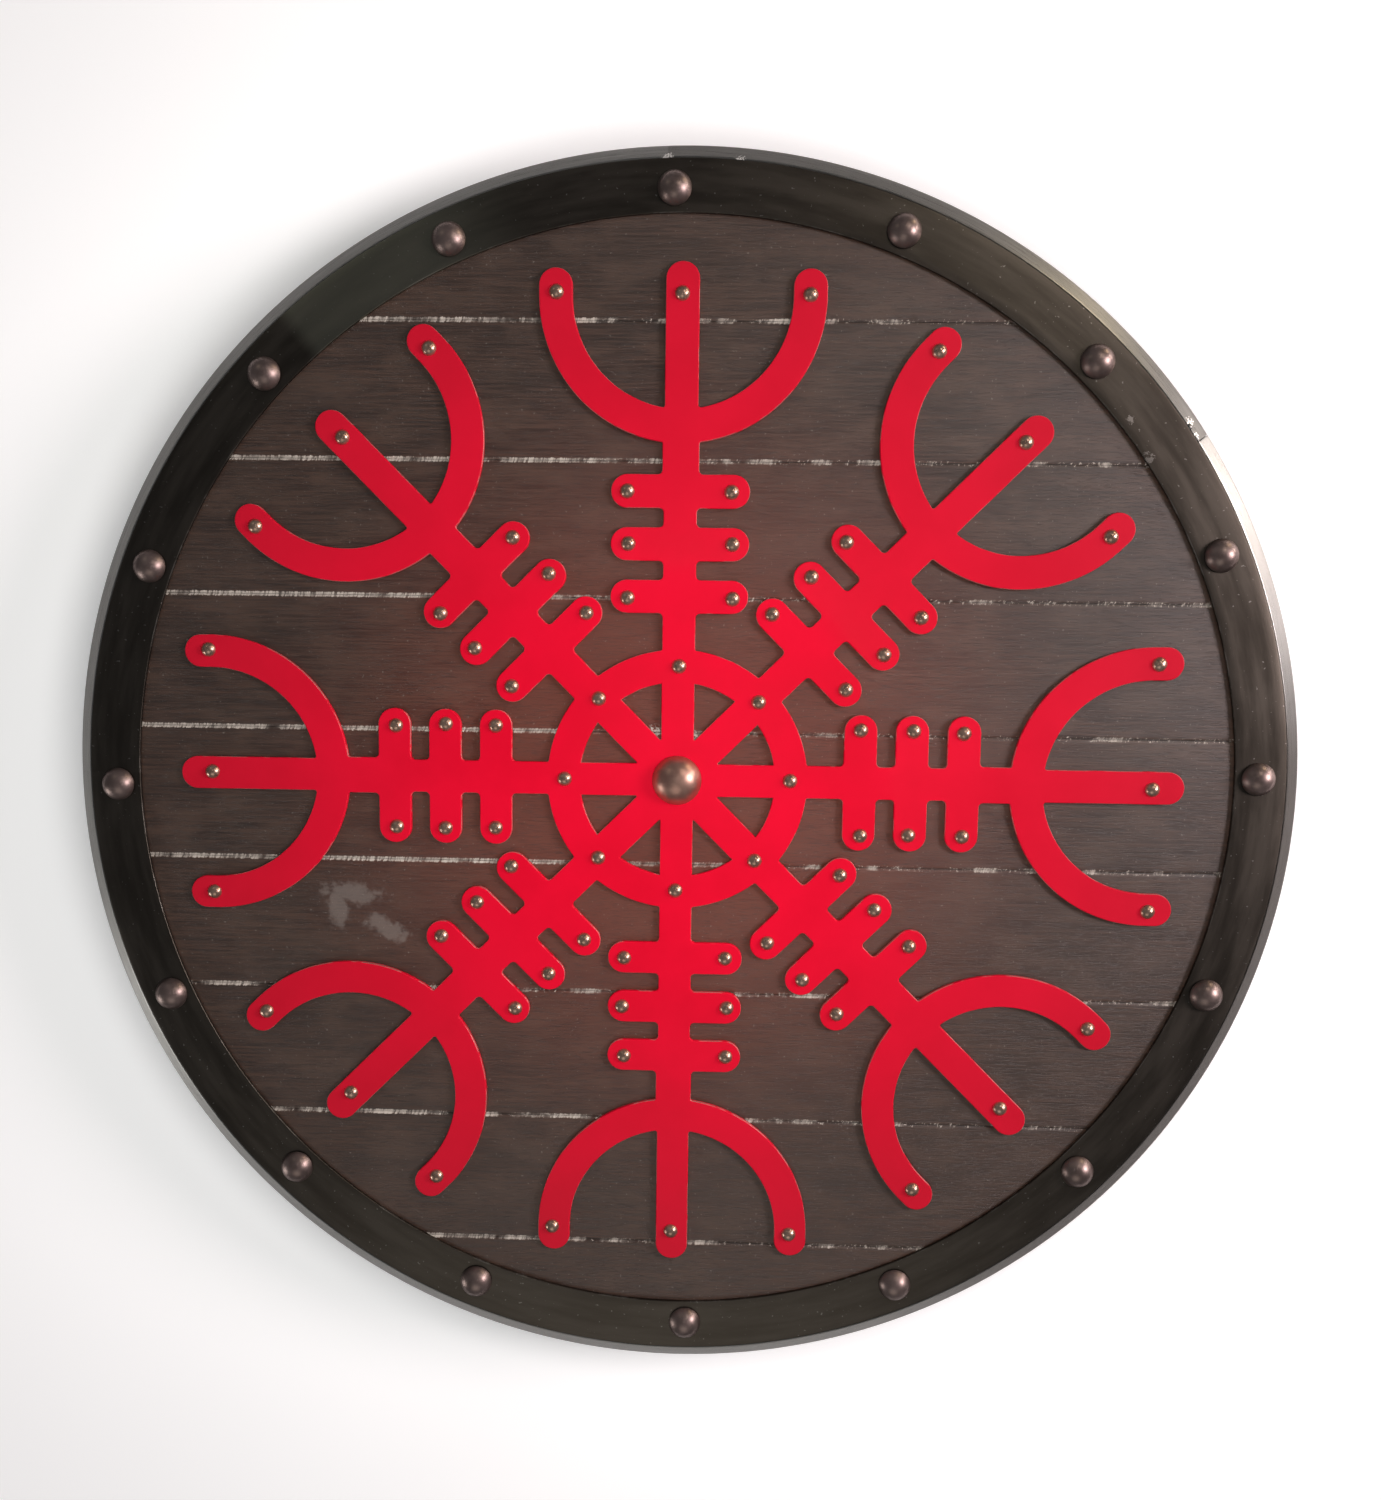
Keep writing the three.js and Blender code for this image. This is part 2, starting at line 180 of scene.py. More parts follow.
BLACK_STEEL_FLECK = (0.42, 0.39, 0.36, 1)
GROUND_STEEL_DARK = (0.24, 0.237, 0.223, 1)
GROUND_STEEL_LIGHT = (0.375, 0.37, 0.353, 1)
GROUND_STEEL_CLOUD = (0.22, 0.217, 0.2, 1)
# Duller steel between the joints, and painted shade where the strip is darkened
GROUND_STEEL_DULL_AND_SHADE = (0.087, 0.077, 0.067, 1)
# Painted highlight on the hoop's bevel
GROUND_STEEL_PAINTED_HIGHLIGHT = (0.66, 0.64, 0.61, 1)
WELD = (0.95, 0.93, 0.9, 1)
RED_DARK = (0.47, 0.001, 0.0145, 1)
RED_LIGHT = (0.535, 0.0013, 0.018, 1)
# Painted shade and painted sheen toward the emblem's tips
RED_PAINTED_SHADE_AND_SHEEN = (0.25, 0.016, 0.028, 1)
RED_RUBBED = (0.62, 0.42, 0.38, 1)
FLOOR_DARK = (0.88, 0.88, 0.88, 1)
FLOOR_LIGHT = (0.91, 0.91, 0.91, 1)
DARK_COPPER = ((0.17, 0.125, 0.112, 1), (0.24, 0.18, 0.165, 1))
BROWN_COPPER = ((0.36, 0.20, 0.16, 1), (0.46, 0.28, 0.22, 1))
NAIL_BRONZE = ((0.35, 0.22, 0.16, 1), (0.49, 0.335, 0.26, 1))
SCREW_STEEL = ((0.10, 0.10, 0.095, 1), (0.19, 0.185, 0.18, 1))


# Shapes

def mesh_piece(name, points, faces, finish, replaced=(), flat_angle=35):
    """A piece of the shield from its points and faces, with its finish, riding on the one body."""
    mesh = bpy.data.meshes.new(name)
    mesh.from_pydata([tuple(map(float, p)) for p in points], [], [tuple(map(int, f)) for f in faces])
    mesh.validate()
    mesh.shade_smooth()
    mesh.set_sharp_from_angle(angle=math.radians(flat_angle))
    mesh.materials.append(finish)
    piece = bpy.data.objects.new(name, mesh)
    bpy.context.scene.collection.objects.link(piece)
    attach(piece, "root")
    if replaced:
        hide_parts(*replaced)
    return piece


def smooth_noise(values, spacing, seed):
    """Seeded noise between -1 and 1 that changes smoothly over each spacing."""
    rng = np.random.default_rng(seed)
    places = np.asarray(values) / spacing
    low = math.floor(float(places.min())) - 1
    knots = rng.uniform(-1, 1, math.ceil(float(places.max())) - low + 3)
    cell = np.floor(places).astype(int)
    part = places - cell
    ease = part * part * (3 - 2 * part)
    return knots[cell - low] * (1 - ease) + knots[cell - low + 1] * ease


def arc(centre, radius, start, end, step=6):
    """Points of an arc, in degrees, about one for each step."""
    count = max(2, math.ceil(abs(end - start) / step)) + 1
    angles = np.radians(np.linspace(start, end, count))
    return [(centre[0] + radius * math.cos(a), centre[1] + radius * math.sin(a)) for a in angles]


def filleted(corners, steps=5):
    """A path through corners (x, y) or (x, y, fillet radius), with those corners rounded. It is closed."""
    path = []
    for i, corner in enumerate(corners):
        here = Vector(corner[:2])
        if len(corner) < 3:
            path.append(here)
            continue
        back = (Vector(corners[i - 1][:2]) - here).normalized()
        on = (Vector(corners[(i + 1) % len(corners)][:2]) - here).normalized()
        half = back.angle(on) / 2
        reach = corner[2] / math.tan(half)
        middle = here + (back + on).normalized() * (corner[2] / math.sin(half))
        start = here + back * reach - middle
        sweep = math.atan2(start.cross(here + on * reach - middle), start.dot(here + on * reach - middle))
        for k in range(steps + 1):
            path.append(middle + Matrix.Rotation(sweep * k / steps, 2) @ start)
    return path


def turned(profile, segments, start=0.0, end=TURN):
    """A closed profile of (radius, height) swept about the Z axis, all the way or with flat ends."""
    profile = [tuple(p) for p in profile]
    whole = end - start >= TURN - 1e-9
    count = segments if whole else segments + 1
    points = []
    for i in range(count):
        angle = start + (end - start) * i / segments
        points += [(r * math.cos(angle), r * math.sin(angle), z) for r, z in profile]
    n = len(profile)
    faces = []
    for i in range(segments):
        a = i * n
        b = (i + 1) % count * n
        faces += [(a + k, b + k, b + (k + 1) % n, a + (k + 1) % n) for k in range(n)]
    if not whole:
        faces += [tuple(range(n)), tuple(reversed(range((count - 1) * n, count * n)))]
    return np.array(points), faces


def faces_between(loops, sides, first=0, inside_out=False):
    """Faces between loops of points that follow one another, from the first point's number."""
    faces = []
    for start in range(first, first + (loops - 1) * sides, sides):
        for k in range(sides):
            a = start + k
            b = start + (k + 1) % sides
            faces.append((a, a + sides, b + sides, b) if inside_out else (a, b, b + sides, a + sides))
    return faces


def dome(radius, height, sides, rings, skirt):
    """A dome head on z = 0: a short upright skirt, then an arc of a circle up to the top."""
    rise = height - skirt
    opening = 2 * math.atan(rise / radius)
    ball = radius / math.sin(opening)
    profile = [(radius * 0.96, 0.0), (radius, skirt * 0.35), (radius, skirt)]
    for i in range(1, rings):
        angle = opening * (1 - i / rings)
        profile.append((ball * math.sin(angle), height - ball * (1 - math.cos(angle))))
    points = []
    for r, z in profile:
        points += [(r * math.cos(TURN * k / sides), r * math.sin(TURN * k / sides), z) for k in range(sides)]
    top = len(points)
    points.append((0.0, 0.0, height))
    faces = [tuple(reversed(range(sides)))] + faces_between(len(profile), sides)
    last = (len(profile) - 1) * sides
    faces += [(last + k, last + (k + 1) % sides, top) for k in range(sides)]
    return np.array(points), faces


def placed(points, place, tilt=(0.0, 0.0), turn=0.0):
    """Points tilted a little, turned and moved to their place."""
    rotation = Euler((tilt[0], tilt[1], turn)).to_matrix()
    return points @ np.array(rotation).T + np.array(place)


def on_rim(degrees, radius, height):
    """A spot on the rim from its angle, radius and height."""
    angle = math.radians(degrees)
    return (radius * math.cos(angle), radius * math.sin(angle), height)


def bevel_height(radius, depth=0.0):
    """Height of the hoop's bevel at a radius, on a face this deep under its outer one."""
    slope = math.hypot(BEVEL_RUN, BEVEL_DEPTH)
    return FLANGE_FACE - ((radius - CREASE_RADIUS) * BEVEL_DEPTH + depth * slope) / BEVEL_RUN


def middle_of(node):
    """Middle of a solid's box, in X and Y."""
    low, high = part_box(node)
    return (low.x + high.x) / 2, (low.y + high.y) / 2


# Node trees

class Tree:
    """A material's or group's nodes, with short ways to add the ones used here."""

    def __init__(self, tree):
        self.tree = tree

    def node(self, kind, **settings):
        made = self.tree.nodes.new(kind)
        for name, value in settings.items():
            setattr(made, name, value)
        return made

    def feed(self, socket, value):
        if isinstance(value, bpy.types.NodeSocket):
            self.tree.links.new(value, socket)
        elif value is not None:
            socket.default_value = value

    def math(self, operation, first, second=None):
        made = self.node("ShaderNodeMath", operation=operation)
        for socket, value in zip(made.inputs, (first, second)):
            self.feed(socket, value)
        return made.outputs[0]

    def vector_math(self, operation, first, second=None):
        made = self.node("ShaderNodeVectorMath", operation=operation)
        for socket, value in zip(made.inputs, (first, second)):
            self.feed(socket, value)
        return made.outputs["Value"] if operation == "LENGTH" else made.outputs[0]

    def mix(self, share, first, second):
        """Two colours mixed."""
        return self.blend(share, first, second, "RGBA")

    def blend(self, share, first, second, kind="FLOAT"):
        """Two numbers mixed."""
        made = self.node("ShaderNodeMix", data_type=kind)
        self.feed(made.inputs["Factor"], share)
        self.feed(made.inputs["A"], first)
        self.feed(made.inputs["B"], second)
        return made.outputs["Result"]

    def tint(self, colour, mask, share, tone):
        """The colour, going this far toward another tone where the mask is."""
        return self.mix(self.math("MULTIPLY", mask, share), colour, tone)

    def between(self, value, low, high, to_low=0.0, to_high=1.0):
        """A smooth change from to_low to to_high while the value goes from low to high."""
        made = self.node("ShaderNodeMapRange", interpolation_type="SMOOTHSTEP")
        for name, given in zip(("Value", "From Min", "From Max", "To Min", "To Max"),
                               (value, low, high, to_low, to_high)):
            self.feed(made.inputs[name], given)
        return made.outputs["Result"]

    def stretched(self, vector, x, y, z):
        """The vector in grains of these sizes."""
        return self.vector_math("MULTIPLY", vector, (1 / x, 1 / y, 1 / z))

    def noise(self, vector, scale=1.0, detail=4.0, roughness=0.55, distortion=0.0):
        made = self.node("ShaderNodeTexNoise")
        self.feed(made.inputs["Vector"], vector)
        for name, value in (("Scale", scale), ("Detail", detail), ("Roughness", roughness),
                            ("Distortion", distortion)):
            self.feed(made.inputs[name], value)
        return made.outputs["Fac"]

    def split(self, vector):
        made = self.node("ShaderNodeSeparateXYZ")
        self.feed(made.inputs[0], vector)
        return made.outputs

    def joined(self, x, y, z):
        made = self.node("ShaderNodeCombineXYZ")
        for socket, value in zip(made.inputs, (x, y, z)):
            self.feed(socket, value)
        return made.outputs[0]

    def bump(self, height, depth, strength=1.0):
        made = self.node("ShaderNodeBump")
        self.feed(made.inputs["Height"], height)
        self.feed(made.inputs["Distance"], depth)
        self.feed(made.inputs["Strength"], strength)
        return made.outputs["Normal"]

    def place(self):
        """The place on the shield, in metres."""
        return self.node("ShaderNodeTexCoord").outputs["Object"]

    def use(self, group, **given):
        made = self.node("ShaderNodeGroup", node_tree=group)
        for name, value in given.items():
            self.feed(made.inputs[name.replace("_", " ")], value)
        return made.outputs


def group(name, places, numbers, vectors, values):
    """An empty node group: it takes places and numbers (name: value), and gives vectors and values."""
    made = bpy.data.node_groups.new(name, "ShaderNodeTree")
    for label in places:
        made.interface.new_socket(label, in_out="INPUT", socket_type="NodeSocketVector")
    for label, value in numbers.items():
        socket = made.interface.new_socket(label, in_out="INPUT", socket_type="NodeSocketFloat")
        socket.default_value = value
    for label in vectors:
        made.interface.new_socket(label, in_out="OUTPUT", socket_type="NodeSocketVector")
    for label in values:
        made.interface.new_socket(label, in_out="OUTPUT", socket_type="NodeSocketFloat")
    tree = Tree(made)
    taken = tree.node("NodeGroupInput").outputs
    given = tree.node("NodeGroupOutput").inputs
    return made, tree, taken, given


def material(name):
    """An empty material with one Principled shader: the material, its tree and the shader's sockets."""
    made = bpy.data.materials.new(name)
    made.use_nodes = True
    made.node_tree.nodes.clear()
    tree = Tree(made.node_tree)
    shader = tree.node("ShaderNodeBsdfPrincipled")
    tree.feed(tree.node("ShaderNodeOutputMaterial").inputs["Surface"], shader.outputs[0])
    return made, tree, shader.inputs


# Effects shared by several materials

def wood_grain_group():
    """Long grain along X: fine streaks, dark pores and a slow change of tone."""
    made, tree, taken, given = group("long grain", ["Place"], {"Streak Width": 1.2 * MM}, [],
                                     ["Streaks", "Pores", "Tone"])
    scale = tree.node("ShaderNodeVectorMath", operation="SCALE")
    tree.feed(scale.inputs[0], taken["Place"])
    tree.feed(scale.inputs["Scale"], tree.math("DIVIDE", 1.0, taken["Streak Width"]))
    scaled = scale.outputs[0]
    streaks = tree.noise(tree.stretched(scaled, 28, 1, 6), detail=6, roughness=0.62, distortion=0.3)
    tree.feed(given["Streaks"], streaks)
    pores = tree.noise(tree.stretched(scaled, 7, 0.35, 3), detail=2)
    tree.feed(given["Pores"], tree.between(pores, 0.36, 0.46, 1.0, 0.0))
    tree.feed(given["Tone"], tree.noise(tree.stretched(scaled, 150, 14, 40), detail=3, roughness=0.5))
    return made


def ring_place_group():
    """The place on a ring: distance round it, distance from its middle, and height."""
    made, tree, taken, given = group("round the rim", ["Place"], {}, ["Unrolled"], ["Angle", "Out"])
    x, y, z = tree.split(taken["Place"])
    angle = tree.math("ARCTAN2", y, x)
    out = tree.vector_math("LENGTH", tree.joined(x, y, 0.0))
    tree.feed(given["Unrolled"], tree.joined(tree.math("MULTIPLY", angle, OUTER_RADIUS), out, z))
    tree.feed(given["Angle"], tree.math("MULTIPLY", angle, 180 / math.pi))
    tree.feed(given["Out"], out)
    return made


def grime_group():
    """Dust and handling marks: soft blotches and a few fine specks."""
    numbers = {"Blotch Size": 50 * MM, "Speck Size": 1.2 * MM, "Speck Limit": 0.7}
    made, tree, taken, given = group("grime", ["Place"], numbers, [], ["Blotches", "Specks"])
    blotch_scale = tree.math("DIVIDE", 1.0, taken["Blotch Size"])
    blotches = tree.noise(taken["Place"], scale=blotch_scale, detail=4, roughness=0.6)
    tree.feed(given["Blotches"], tree.between(blotches, 0.3, 0.7))
    speck_scale = tree.math("DIVIDE", 1.0, taken["Speck Size"])
    specks = tree.noise(taken["Place"], scale=speck_scale, detail=1, roughness=0.4)
    above = tree.math("ADD", taken["Speck Limit"], 0.05)
    tree.feed(given["Specks"], tree.between(specks, taken["Speck Limit"], above))
    return made


def flecks_group():
    """Pale flecks crowded round one spot."""
    made, tree, taken, given = group("pale flecks", ["Place", "Centre"], {"Size": 3 * MM}, [], ["Mask"])
    away = tree.vector_math("LENGTH", tree.vector_math("SUBTRACT", taken["Place"], taken["Centre"]))
    share = tree.math("DIVIDE", away, taken["Size"])
    near = tree.between(share, 0.2, 1.0, 0.16, 0.0)
    broken = tree.noise(taken["Place"], scale=800, detail=3, roughness=0.7)
    flecks = tree.between(tree.math("ADD", broken, near), 0.58, 0.64)
    inside = tree.between(share, 0.9, 1.0, 1.0, 0.0)
    tree.feed(given["Mask"], tree.math("MULTIPLY", inside, flecks))
    return made


LONG_GRAIN = wood_grain_group()
FLECKS = flecks_group()
ROUND_THE_RIM = ring_place_group()
GRIME = grime_group()


# Finishes

def from_middle(tree, place):
    """Distance from the emblem's middle, as seen from above."""
    x, y, z = tree.split(place)
    flat = tree.joined(tree.math("SUBTRACT", x, EMBLEM_X), tree.math("SUBTRACT", y, EMBLEM_Y), 0.0)
    return tree.vector_math("LENGTH", flat)


def stretch(tree, angle, rising, falling):
    """A stretch of the rim that comes in between two angles and goes out between two others."""
    return tree.math("MULTIPLY", tree.between(angle, *rising), tree.between(angle, *falling, 1.0, 0.0))


def flecks_at(tree, place, spots):
    """Pale flecks at several spots (place, size) as one mask."""
    found = None
    for centre, size in spots:
        flecks = tree.use(FLECKS, Place=place, Centre=centre, Size=size)["Mask"]
        found = flecks if found is None else tree.math("MAXIMUM", found, flecks)
    return found


def seam_mask(tree, place):
    """How far bare wood shows in the grooves between the planks, and a painted shade line along the gap at
    their bottom.
    """
    x, y, z = tree.split(place)
    offset = tree.math("SUBTRACT", y, FIRST_SEAM)
    distance = tree.math("PINGPONG", offset, SEAM_PITCH / 2)
    leaning = tree.joined(tree.math("SUBTRACT", x, tree.math("MULTIPLY", y, 0.3)), y, 0.0)
    ticks = tree.noise(tree.stretched(leaning, 1.3 * MM, 8 * MM, 1), detail=3, roughness=0.75)
    width = tree.between(ticks, 0.3, 0.7, 0.9 * MM, 1.6 * MM)
    in_groove = tree.between(tree.math("SUBTRACT", width, distance), 0.0, 0.4 * MM)
    stretches = tree.noise(tree.stretched(place, 17 * MM, 30 * MM, 1), detail=3, roughness=0.6)
    cover = tree.math("ADD", stretches, tree.between(x, -0.26, 0.2, 0.17, -0.06))
    bare = tree.math("MULTIPLY", tree.between(cover, 0.46, 0.66), tree.between(ticks, 0.38, 0.58, 0.15, 1.0))
    chips = tree.noise(tree.stretched(leaning, 1.3 * MM, 2.2 * MM, 1), detail=2, roughness=0.8)
    chips = tree.between(tree.math("ADD", chips, tree.math("MULTIPLY", stretches, 0.3)), 0.70, 0.78)
    bare = tree.math("MAXIMUM", bare, tree.math("MULTIPLY", chips, 0.8))
    # Painted shade of the narrow gap where two planks meet
    gap_shade = tree.between(distance, 0.2 * MM, 0.6 * MM, 1.0, 0.0)
    return tree.math("MULTIPLY", bare, in_groove), gap_shade


def rubbed_patch(tree, place, centre, size, lean):
    """A rubbed smudge of this size at a spot on the board, leaning this many degrees."""
    moved = tree.vector_math("SUBTRACT", place, (*centre, BOARD_FACE))
    turned_place = tree.node("ShaderNodeVectorRotate", rotation_type="Z_AXIS")
    tree.feed(turned_place.inputs["Vector"], moved)
    tree.feed(turned_place.inputs["Angle"], math.radians(-lean))
    spread = tree.vector_math("LENGTH", tree.stretched(turned_place.outputs[0], *size, 1))
    ragged = tree.noise(place, scale=260, detail=4, roughness=0.65)
    edge = tree.math("ADD", spread, tree.between(ragged, 0.2, 0.8, -0.45, 0.45))
    return tree.between(edge, 0.5, 1.2, 1.0, 0.0)


def plank_finish():
    """Dark stained planks: a painted red glow round the middle, bare wood and a painted shade line in the
    grooves, with rubbed and scraped spots.
    """
    made, tree, shader = material("stained planks")
    place = tree.place()
    x, y, z = tree.split(place)
    row = tree.math("FLOOR", tree.math("DIVIDE", tree.math("SUBTRACT", y, FIRST_SEAM), SEAM_PITCH))
    shifted = tree.vector_math("ADD", place, tree.joined(tree.math("MULTIPLY", row, 0.37), 0.0, row))
    grain = tree.use(LONG_GRAIN, Place=shifted, Streak_Width=0.9 * MM)
    grime = tree.use(GRIME, Place=place, Blotch_Size=0.07, Speck_Size=1.4 * MM, Speck_Limit=0.72)
    board_tone = tree.node("ShaderNodeTexWhiteNoise", noise_dimensions="1D")
    tree.feed(board_tone.inputs["W"], row)
    colour = tree.mix(tree.between(grain["Streaks"], 0.36, 0.66), STAIN_DARK, STAIN_LIGHT)
    colour = tree.mix(tree.between(grain["Tone"], 0.35, 0.7, 0.0, 0.5), colour, STAIN_DEEP)
    dull = tree.noise(tree.stretched(place, 26 * MM, 13 * MM, 1), detail=5, roughness=0.6)
    colour = tree.mix(tree.between(dull, 0.42, 0.68, 0.0, 0.55), colour, STAIN_DULL)
    colour = tree.mix(tree.between(board_tone.outputs["Value"], 0, 1, 0, 0.2), colour, STAIN_WARM)
    # Painted red glow of light on the face round the middle, not a stain of the wood
    red_glow_share = tree.math("MULTIPLY", tree.between(from_middle(tree, place), 0.05, 0.215, 0.6, 0.0),
                      tree.between(z, BOARD_FACE - 2 * MM, BOARD_FACE - 1 * MM))
    colour = tree.mix(red_glow_share, colour, PAINTED_RED_GLOW)
    colour = tree.tint(colour, grain["Pores"], 0.5, STAIN_PORES)
    colour = tree.tint(colour, grime["Blotches"], 0.1, STAIN_DUSTY)
    upper = rubbed_patch(tree, place, (-0.1625, -0.0590), (15.5 * MM, 5.5 * MM), -8)
    left = rubbed_patch(tree, place, (-0.1700, -0.0665), (5.0 * MM, 10.5 * MM), 8)
    lower = rubbed_patch(tree, place, (-0.1460, -0.0765), (13.0 * MM, 4.8 * MM), -26)
    patches = tree.math("MAXIMUM", tree.math("MAXIMUM", upper, left), lower)
    colour = tree.tint(colour, patches, 0.42, STAIN_RUBBED)
    scraped = flecks_at(tree, place, (((-0.0128, 0.0238, BOARD_FACE), 4.5 * MM),
                                      ((0.0073, 0.0229, BOARD_FACE), 2.5 * MM)))
    colour = tree.mix(scraped, colour, SCRAPED_WOOD)
    bare, gap_shade = seam_mask(tree, place)
    # Painted shade along the gaps between the planks
    colour = tree.tint(colour, gap_shade, 0.35, GAP_PAINTED_SHADE)
    colour = tree.mix(bare, colour, BARE_WOOD)
    colour = tree.tint(colour, grime["Specks"], 0.35, DUST)
    tree.feed(shader["Base Color"], colour)
    shader["IOR"].default_value = 1.52
    shader["Specular IOR Level"].default_value = 1.0
    rough = tree.blend(tree.between(grain["Streaks"], 0.36, 0.66), 0.46, 0.6)
    rough = tree.blend(tree.between(dull, 0.42, 0.68), rough, 0.54)
    rough = tree.blend(patches, rough, 0.8)
    tree.feed(shader["Roughness"], tree.blend(bare, rough, 0.9))
    height = tree.math("SUBTRACT", grain["Streaks"], tree.math("MULTIPLY", grain["Pores"], 0.35))
    tree.feed(shader["Normal"], tree.bump(height, 0.16 * MM, 0.9))
    return made


def batten_finish():
    """Brown wood of the battens, with the grain along them."""
    made, tree, shader = material("batten wood")
    place = tree.place()
    x, y, z = tree.split(place)
    lengthways = tree.joined(y, x, z)
    grain = tree.use(LONG_GRAIN, Place=lengthways, Streak_Width=1.1 * MM)
    grime = tree.use(GRIME, Place=place, Blotch_Size=0.04, Speck_Size=1.2 * MM, Speck_Limit=0.72)
    colour = tree.mix(tree.between(grain["Streaks"], 0.3, 0.7), BATTEN_DARK, BATTEN_LIGHT)
    colour = tree.tint(colour, grain["Pores"], 0.6, BATTEN_PORES)
    colour = tree.tint(colour, grime["Blotches"], 0.3, BATTEN_GRIME)
    tree.feed(shader["Base Color"], colour)
    tree.feed(shader["Roughness"], tree.blend(grime["Blotches"], 0.45, 0.62))
    tree.feed(shader["Normal"], tree.bump(grain["Streaks"], 0.15 * MM, 0.8))
    return made


def grip_finish():
    """The grip's wood, with the grain along it, darkened and polished by the hand."""
    made, tree, shader = material("grip wood")
    place = tree.place()
    grain = tree.use(LONG_GRAIN, Place=place, Streak_Width=1.0 * MM)
    x, y, z = tree.split(place)
    held = tree.between(tree.math("ABSOLUTE", x), 0.045, 0.075, 1.0, 0.0)
    colour = tree.mix(tree.between(grain["Streaks"], 0.3, 0.7), GRIP_DARK, GRIP_LIGHT)
    colour = tree.tint(colour, grain["Pores"], 0.6, BATTEN_PORES)
    colour = tree.tint(colour, held, 0.45, GRIP_HELD)
    tree.feed(shader["Base Color"], colour)
    tree.feed(shader["Roughness"], tree.blend(held, 0.6, 0.32))
    tree.feed(shader["Normal"], tree.bump(grain["Streaks"], 0.12 * MM, 0.7))
    return made


def black_steel_finish():
    """Blackened sheet steel: cloudy, with a rubbed inner edge, a painted reflection over one stretch and a
    few bright nicks.
    """
    made, tree, shader = material("blackened steel")
    place = tree.place()
    ring = tree.use(ROUND_THE_RIM, Place=place)
    grime = tree.use(GRIME, Place=place, Blotch_Size=0.045, Speck_Size=1.5 * MM, Speck_Limit=0.735)
    clouds = tree.noise(tree.stretched(ring["Unrolled"], 60 * MM, 9 * MM, 1), detail=5, roughness=0.6)
    colour = tree.mix(tree.between(clouds, 0.3, 0.7), BLACK_STEEL_DARK, BLACK_STEEL_LIGHT)
    # Painted reflection: the flange made lighter between about 104 and 132 degrees
    painted_reflection = stretch(tree, ring["Angle"], (104, 117), (130, 132))
    colour = tree.tint(colour, painted_reflection, 0.6, BLACK_STEEL_PAINTED_REFLECTION)
    rubbed = tree.between(ring["Out"], FLANGE_INNER + 0.15 * MM, FLANGE_INNER + 0.7 * MM, 1.0, 0.0)
    patchy = tree.noise(tree.stretched(ring["Unrolled"], 30 * MM, 10 * MM, 1), detail=5, roughness=0.7)
    rubbed = tree.math("MULTIPLY", rubbed, tree.between(patchy, 0.5, 0.62))
    colour = tree.tint(colour, rubbed, 0.2, BLACK_STEEL_RUBBED)
    colour = tree.tint(colour, grime["Specks"], 0.4, BLACK_STEEL_SPECK)
    flecks = flecks_at(tree, place, ((on_rim(39.8, FLANGE_INNER + 5 * MM, FLANGE_FACE), 2.6 * MM),
                                     (on_rim(35.7, FLANGE_INNER + 1.5 * MM, FLANGE_FACE), 3.6 * MM)))
    colour = tree.tint(colour, flecks, 0.5, BLACK_STEEL_FLECK)
    tree.feed(shader["Base Color"], colour)
    shader["Metallic"].default_value = 1.0
    tree.feed(shader["Roughness"], tree.between(clouds, 0.25, 0.75, 0.36, 0.45))
    tree.feed(shader["Normal"], tree.bump(clouds, 0.1 * MM, 0.5))
    return made


def brushed_steel_finish():
    """Ground steel strip: fine scratches round the rim, a duller stretch between its joints, a stretch of
    painted shade and one of painted highlight, and marks of weld.
    """
    made, tree, shader = material("ground steel")
    place = tree.place()
    ring = tree.use(ROUND_THE_RIM, Place=place)
    scratches = tree.stretched(ring["Unrolled"], 26 * MM, 0.32 * MM, 0.32 * MM)
    lines = tree.noise(scratches, detail=5, roughness=0.7)
    clouds = tree.noise(tree.stretched(ring["Unrolled"], 45 * MM, 6 * MM, 6 * MM), detail=4)
    colour = tree.mix(tree.between(lines, 0.25, 0.75), GROUND_STEEL_DARK, GROUND_STEEL_LIGHT)
    colour = tree.mix(tree.between(clouds, 0.35, 0.7, 0, 0.4), colour, GROUND_STEEL_CLOUD)
    joint, second = HOOP_JOINT, SECOND_JOINT
    stretches = (
        ((joint - 0.05, joint + 0.05), (second - 0.1, second + 0.1), 0.35, GROUND_STEEL_DULL_AND_SHADE),
        # Painted shade: the strip made darker from about -60 degrees to about 5 degrees
        ((-76, -50), (2, 12), 0.85, GROUND_STEEL_DULL_AND_SHADE),
        # Painted highlight: the strip made near-white from about 13 degrees up to the joint
        ((8, 18), (joint - 0.3, joint), 0.52, GROUND_STEEL_PAINTED_HIGHLIGHT),
    )
    for rising, falling, share, tone in stretches:
        within = stretch(tree, ring["Angle"], rising, falling)
        colour = tree.tint(colour, within, share, tone)
    # Degrees, distance out from the crease, size
    marks = ((36.2, 3 * MM, 3.4 * MM), (34.9, 1 * MM, 3 * MM),
             (91.8, 0.5 * MM, 4 * MM), (85.2, 1 * MM, 3 * MM))
    weld = flecks_at(tree, place, [
        (on_rim(degrees, CREASE_RADIUS + out, bevel_height(CREASE_RADIUS + out)), size)
        for degrees, out, size in marks
    ])
    colour = tree.mix(weld, colour, WELD)
    tree.feed(shader["Base Color"], colour)
    shader["Metallic"].default_value = 1.0
    rough = tree.between(lines, 0.25, 0.75, 0.24, 0.38)
    tree.feed(shader["Roughness"], tree.blend(weld, rough, 0.6))
    tree.feed(shader["Normal"], tree.bump(lines, 0.03 * MM, 0.6))
    return made


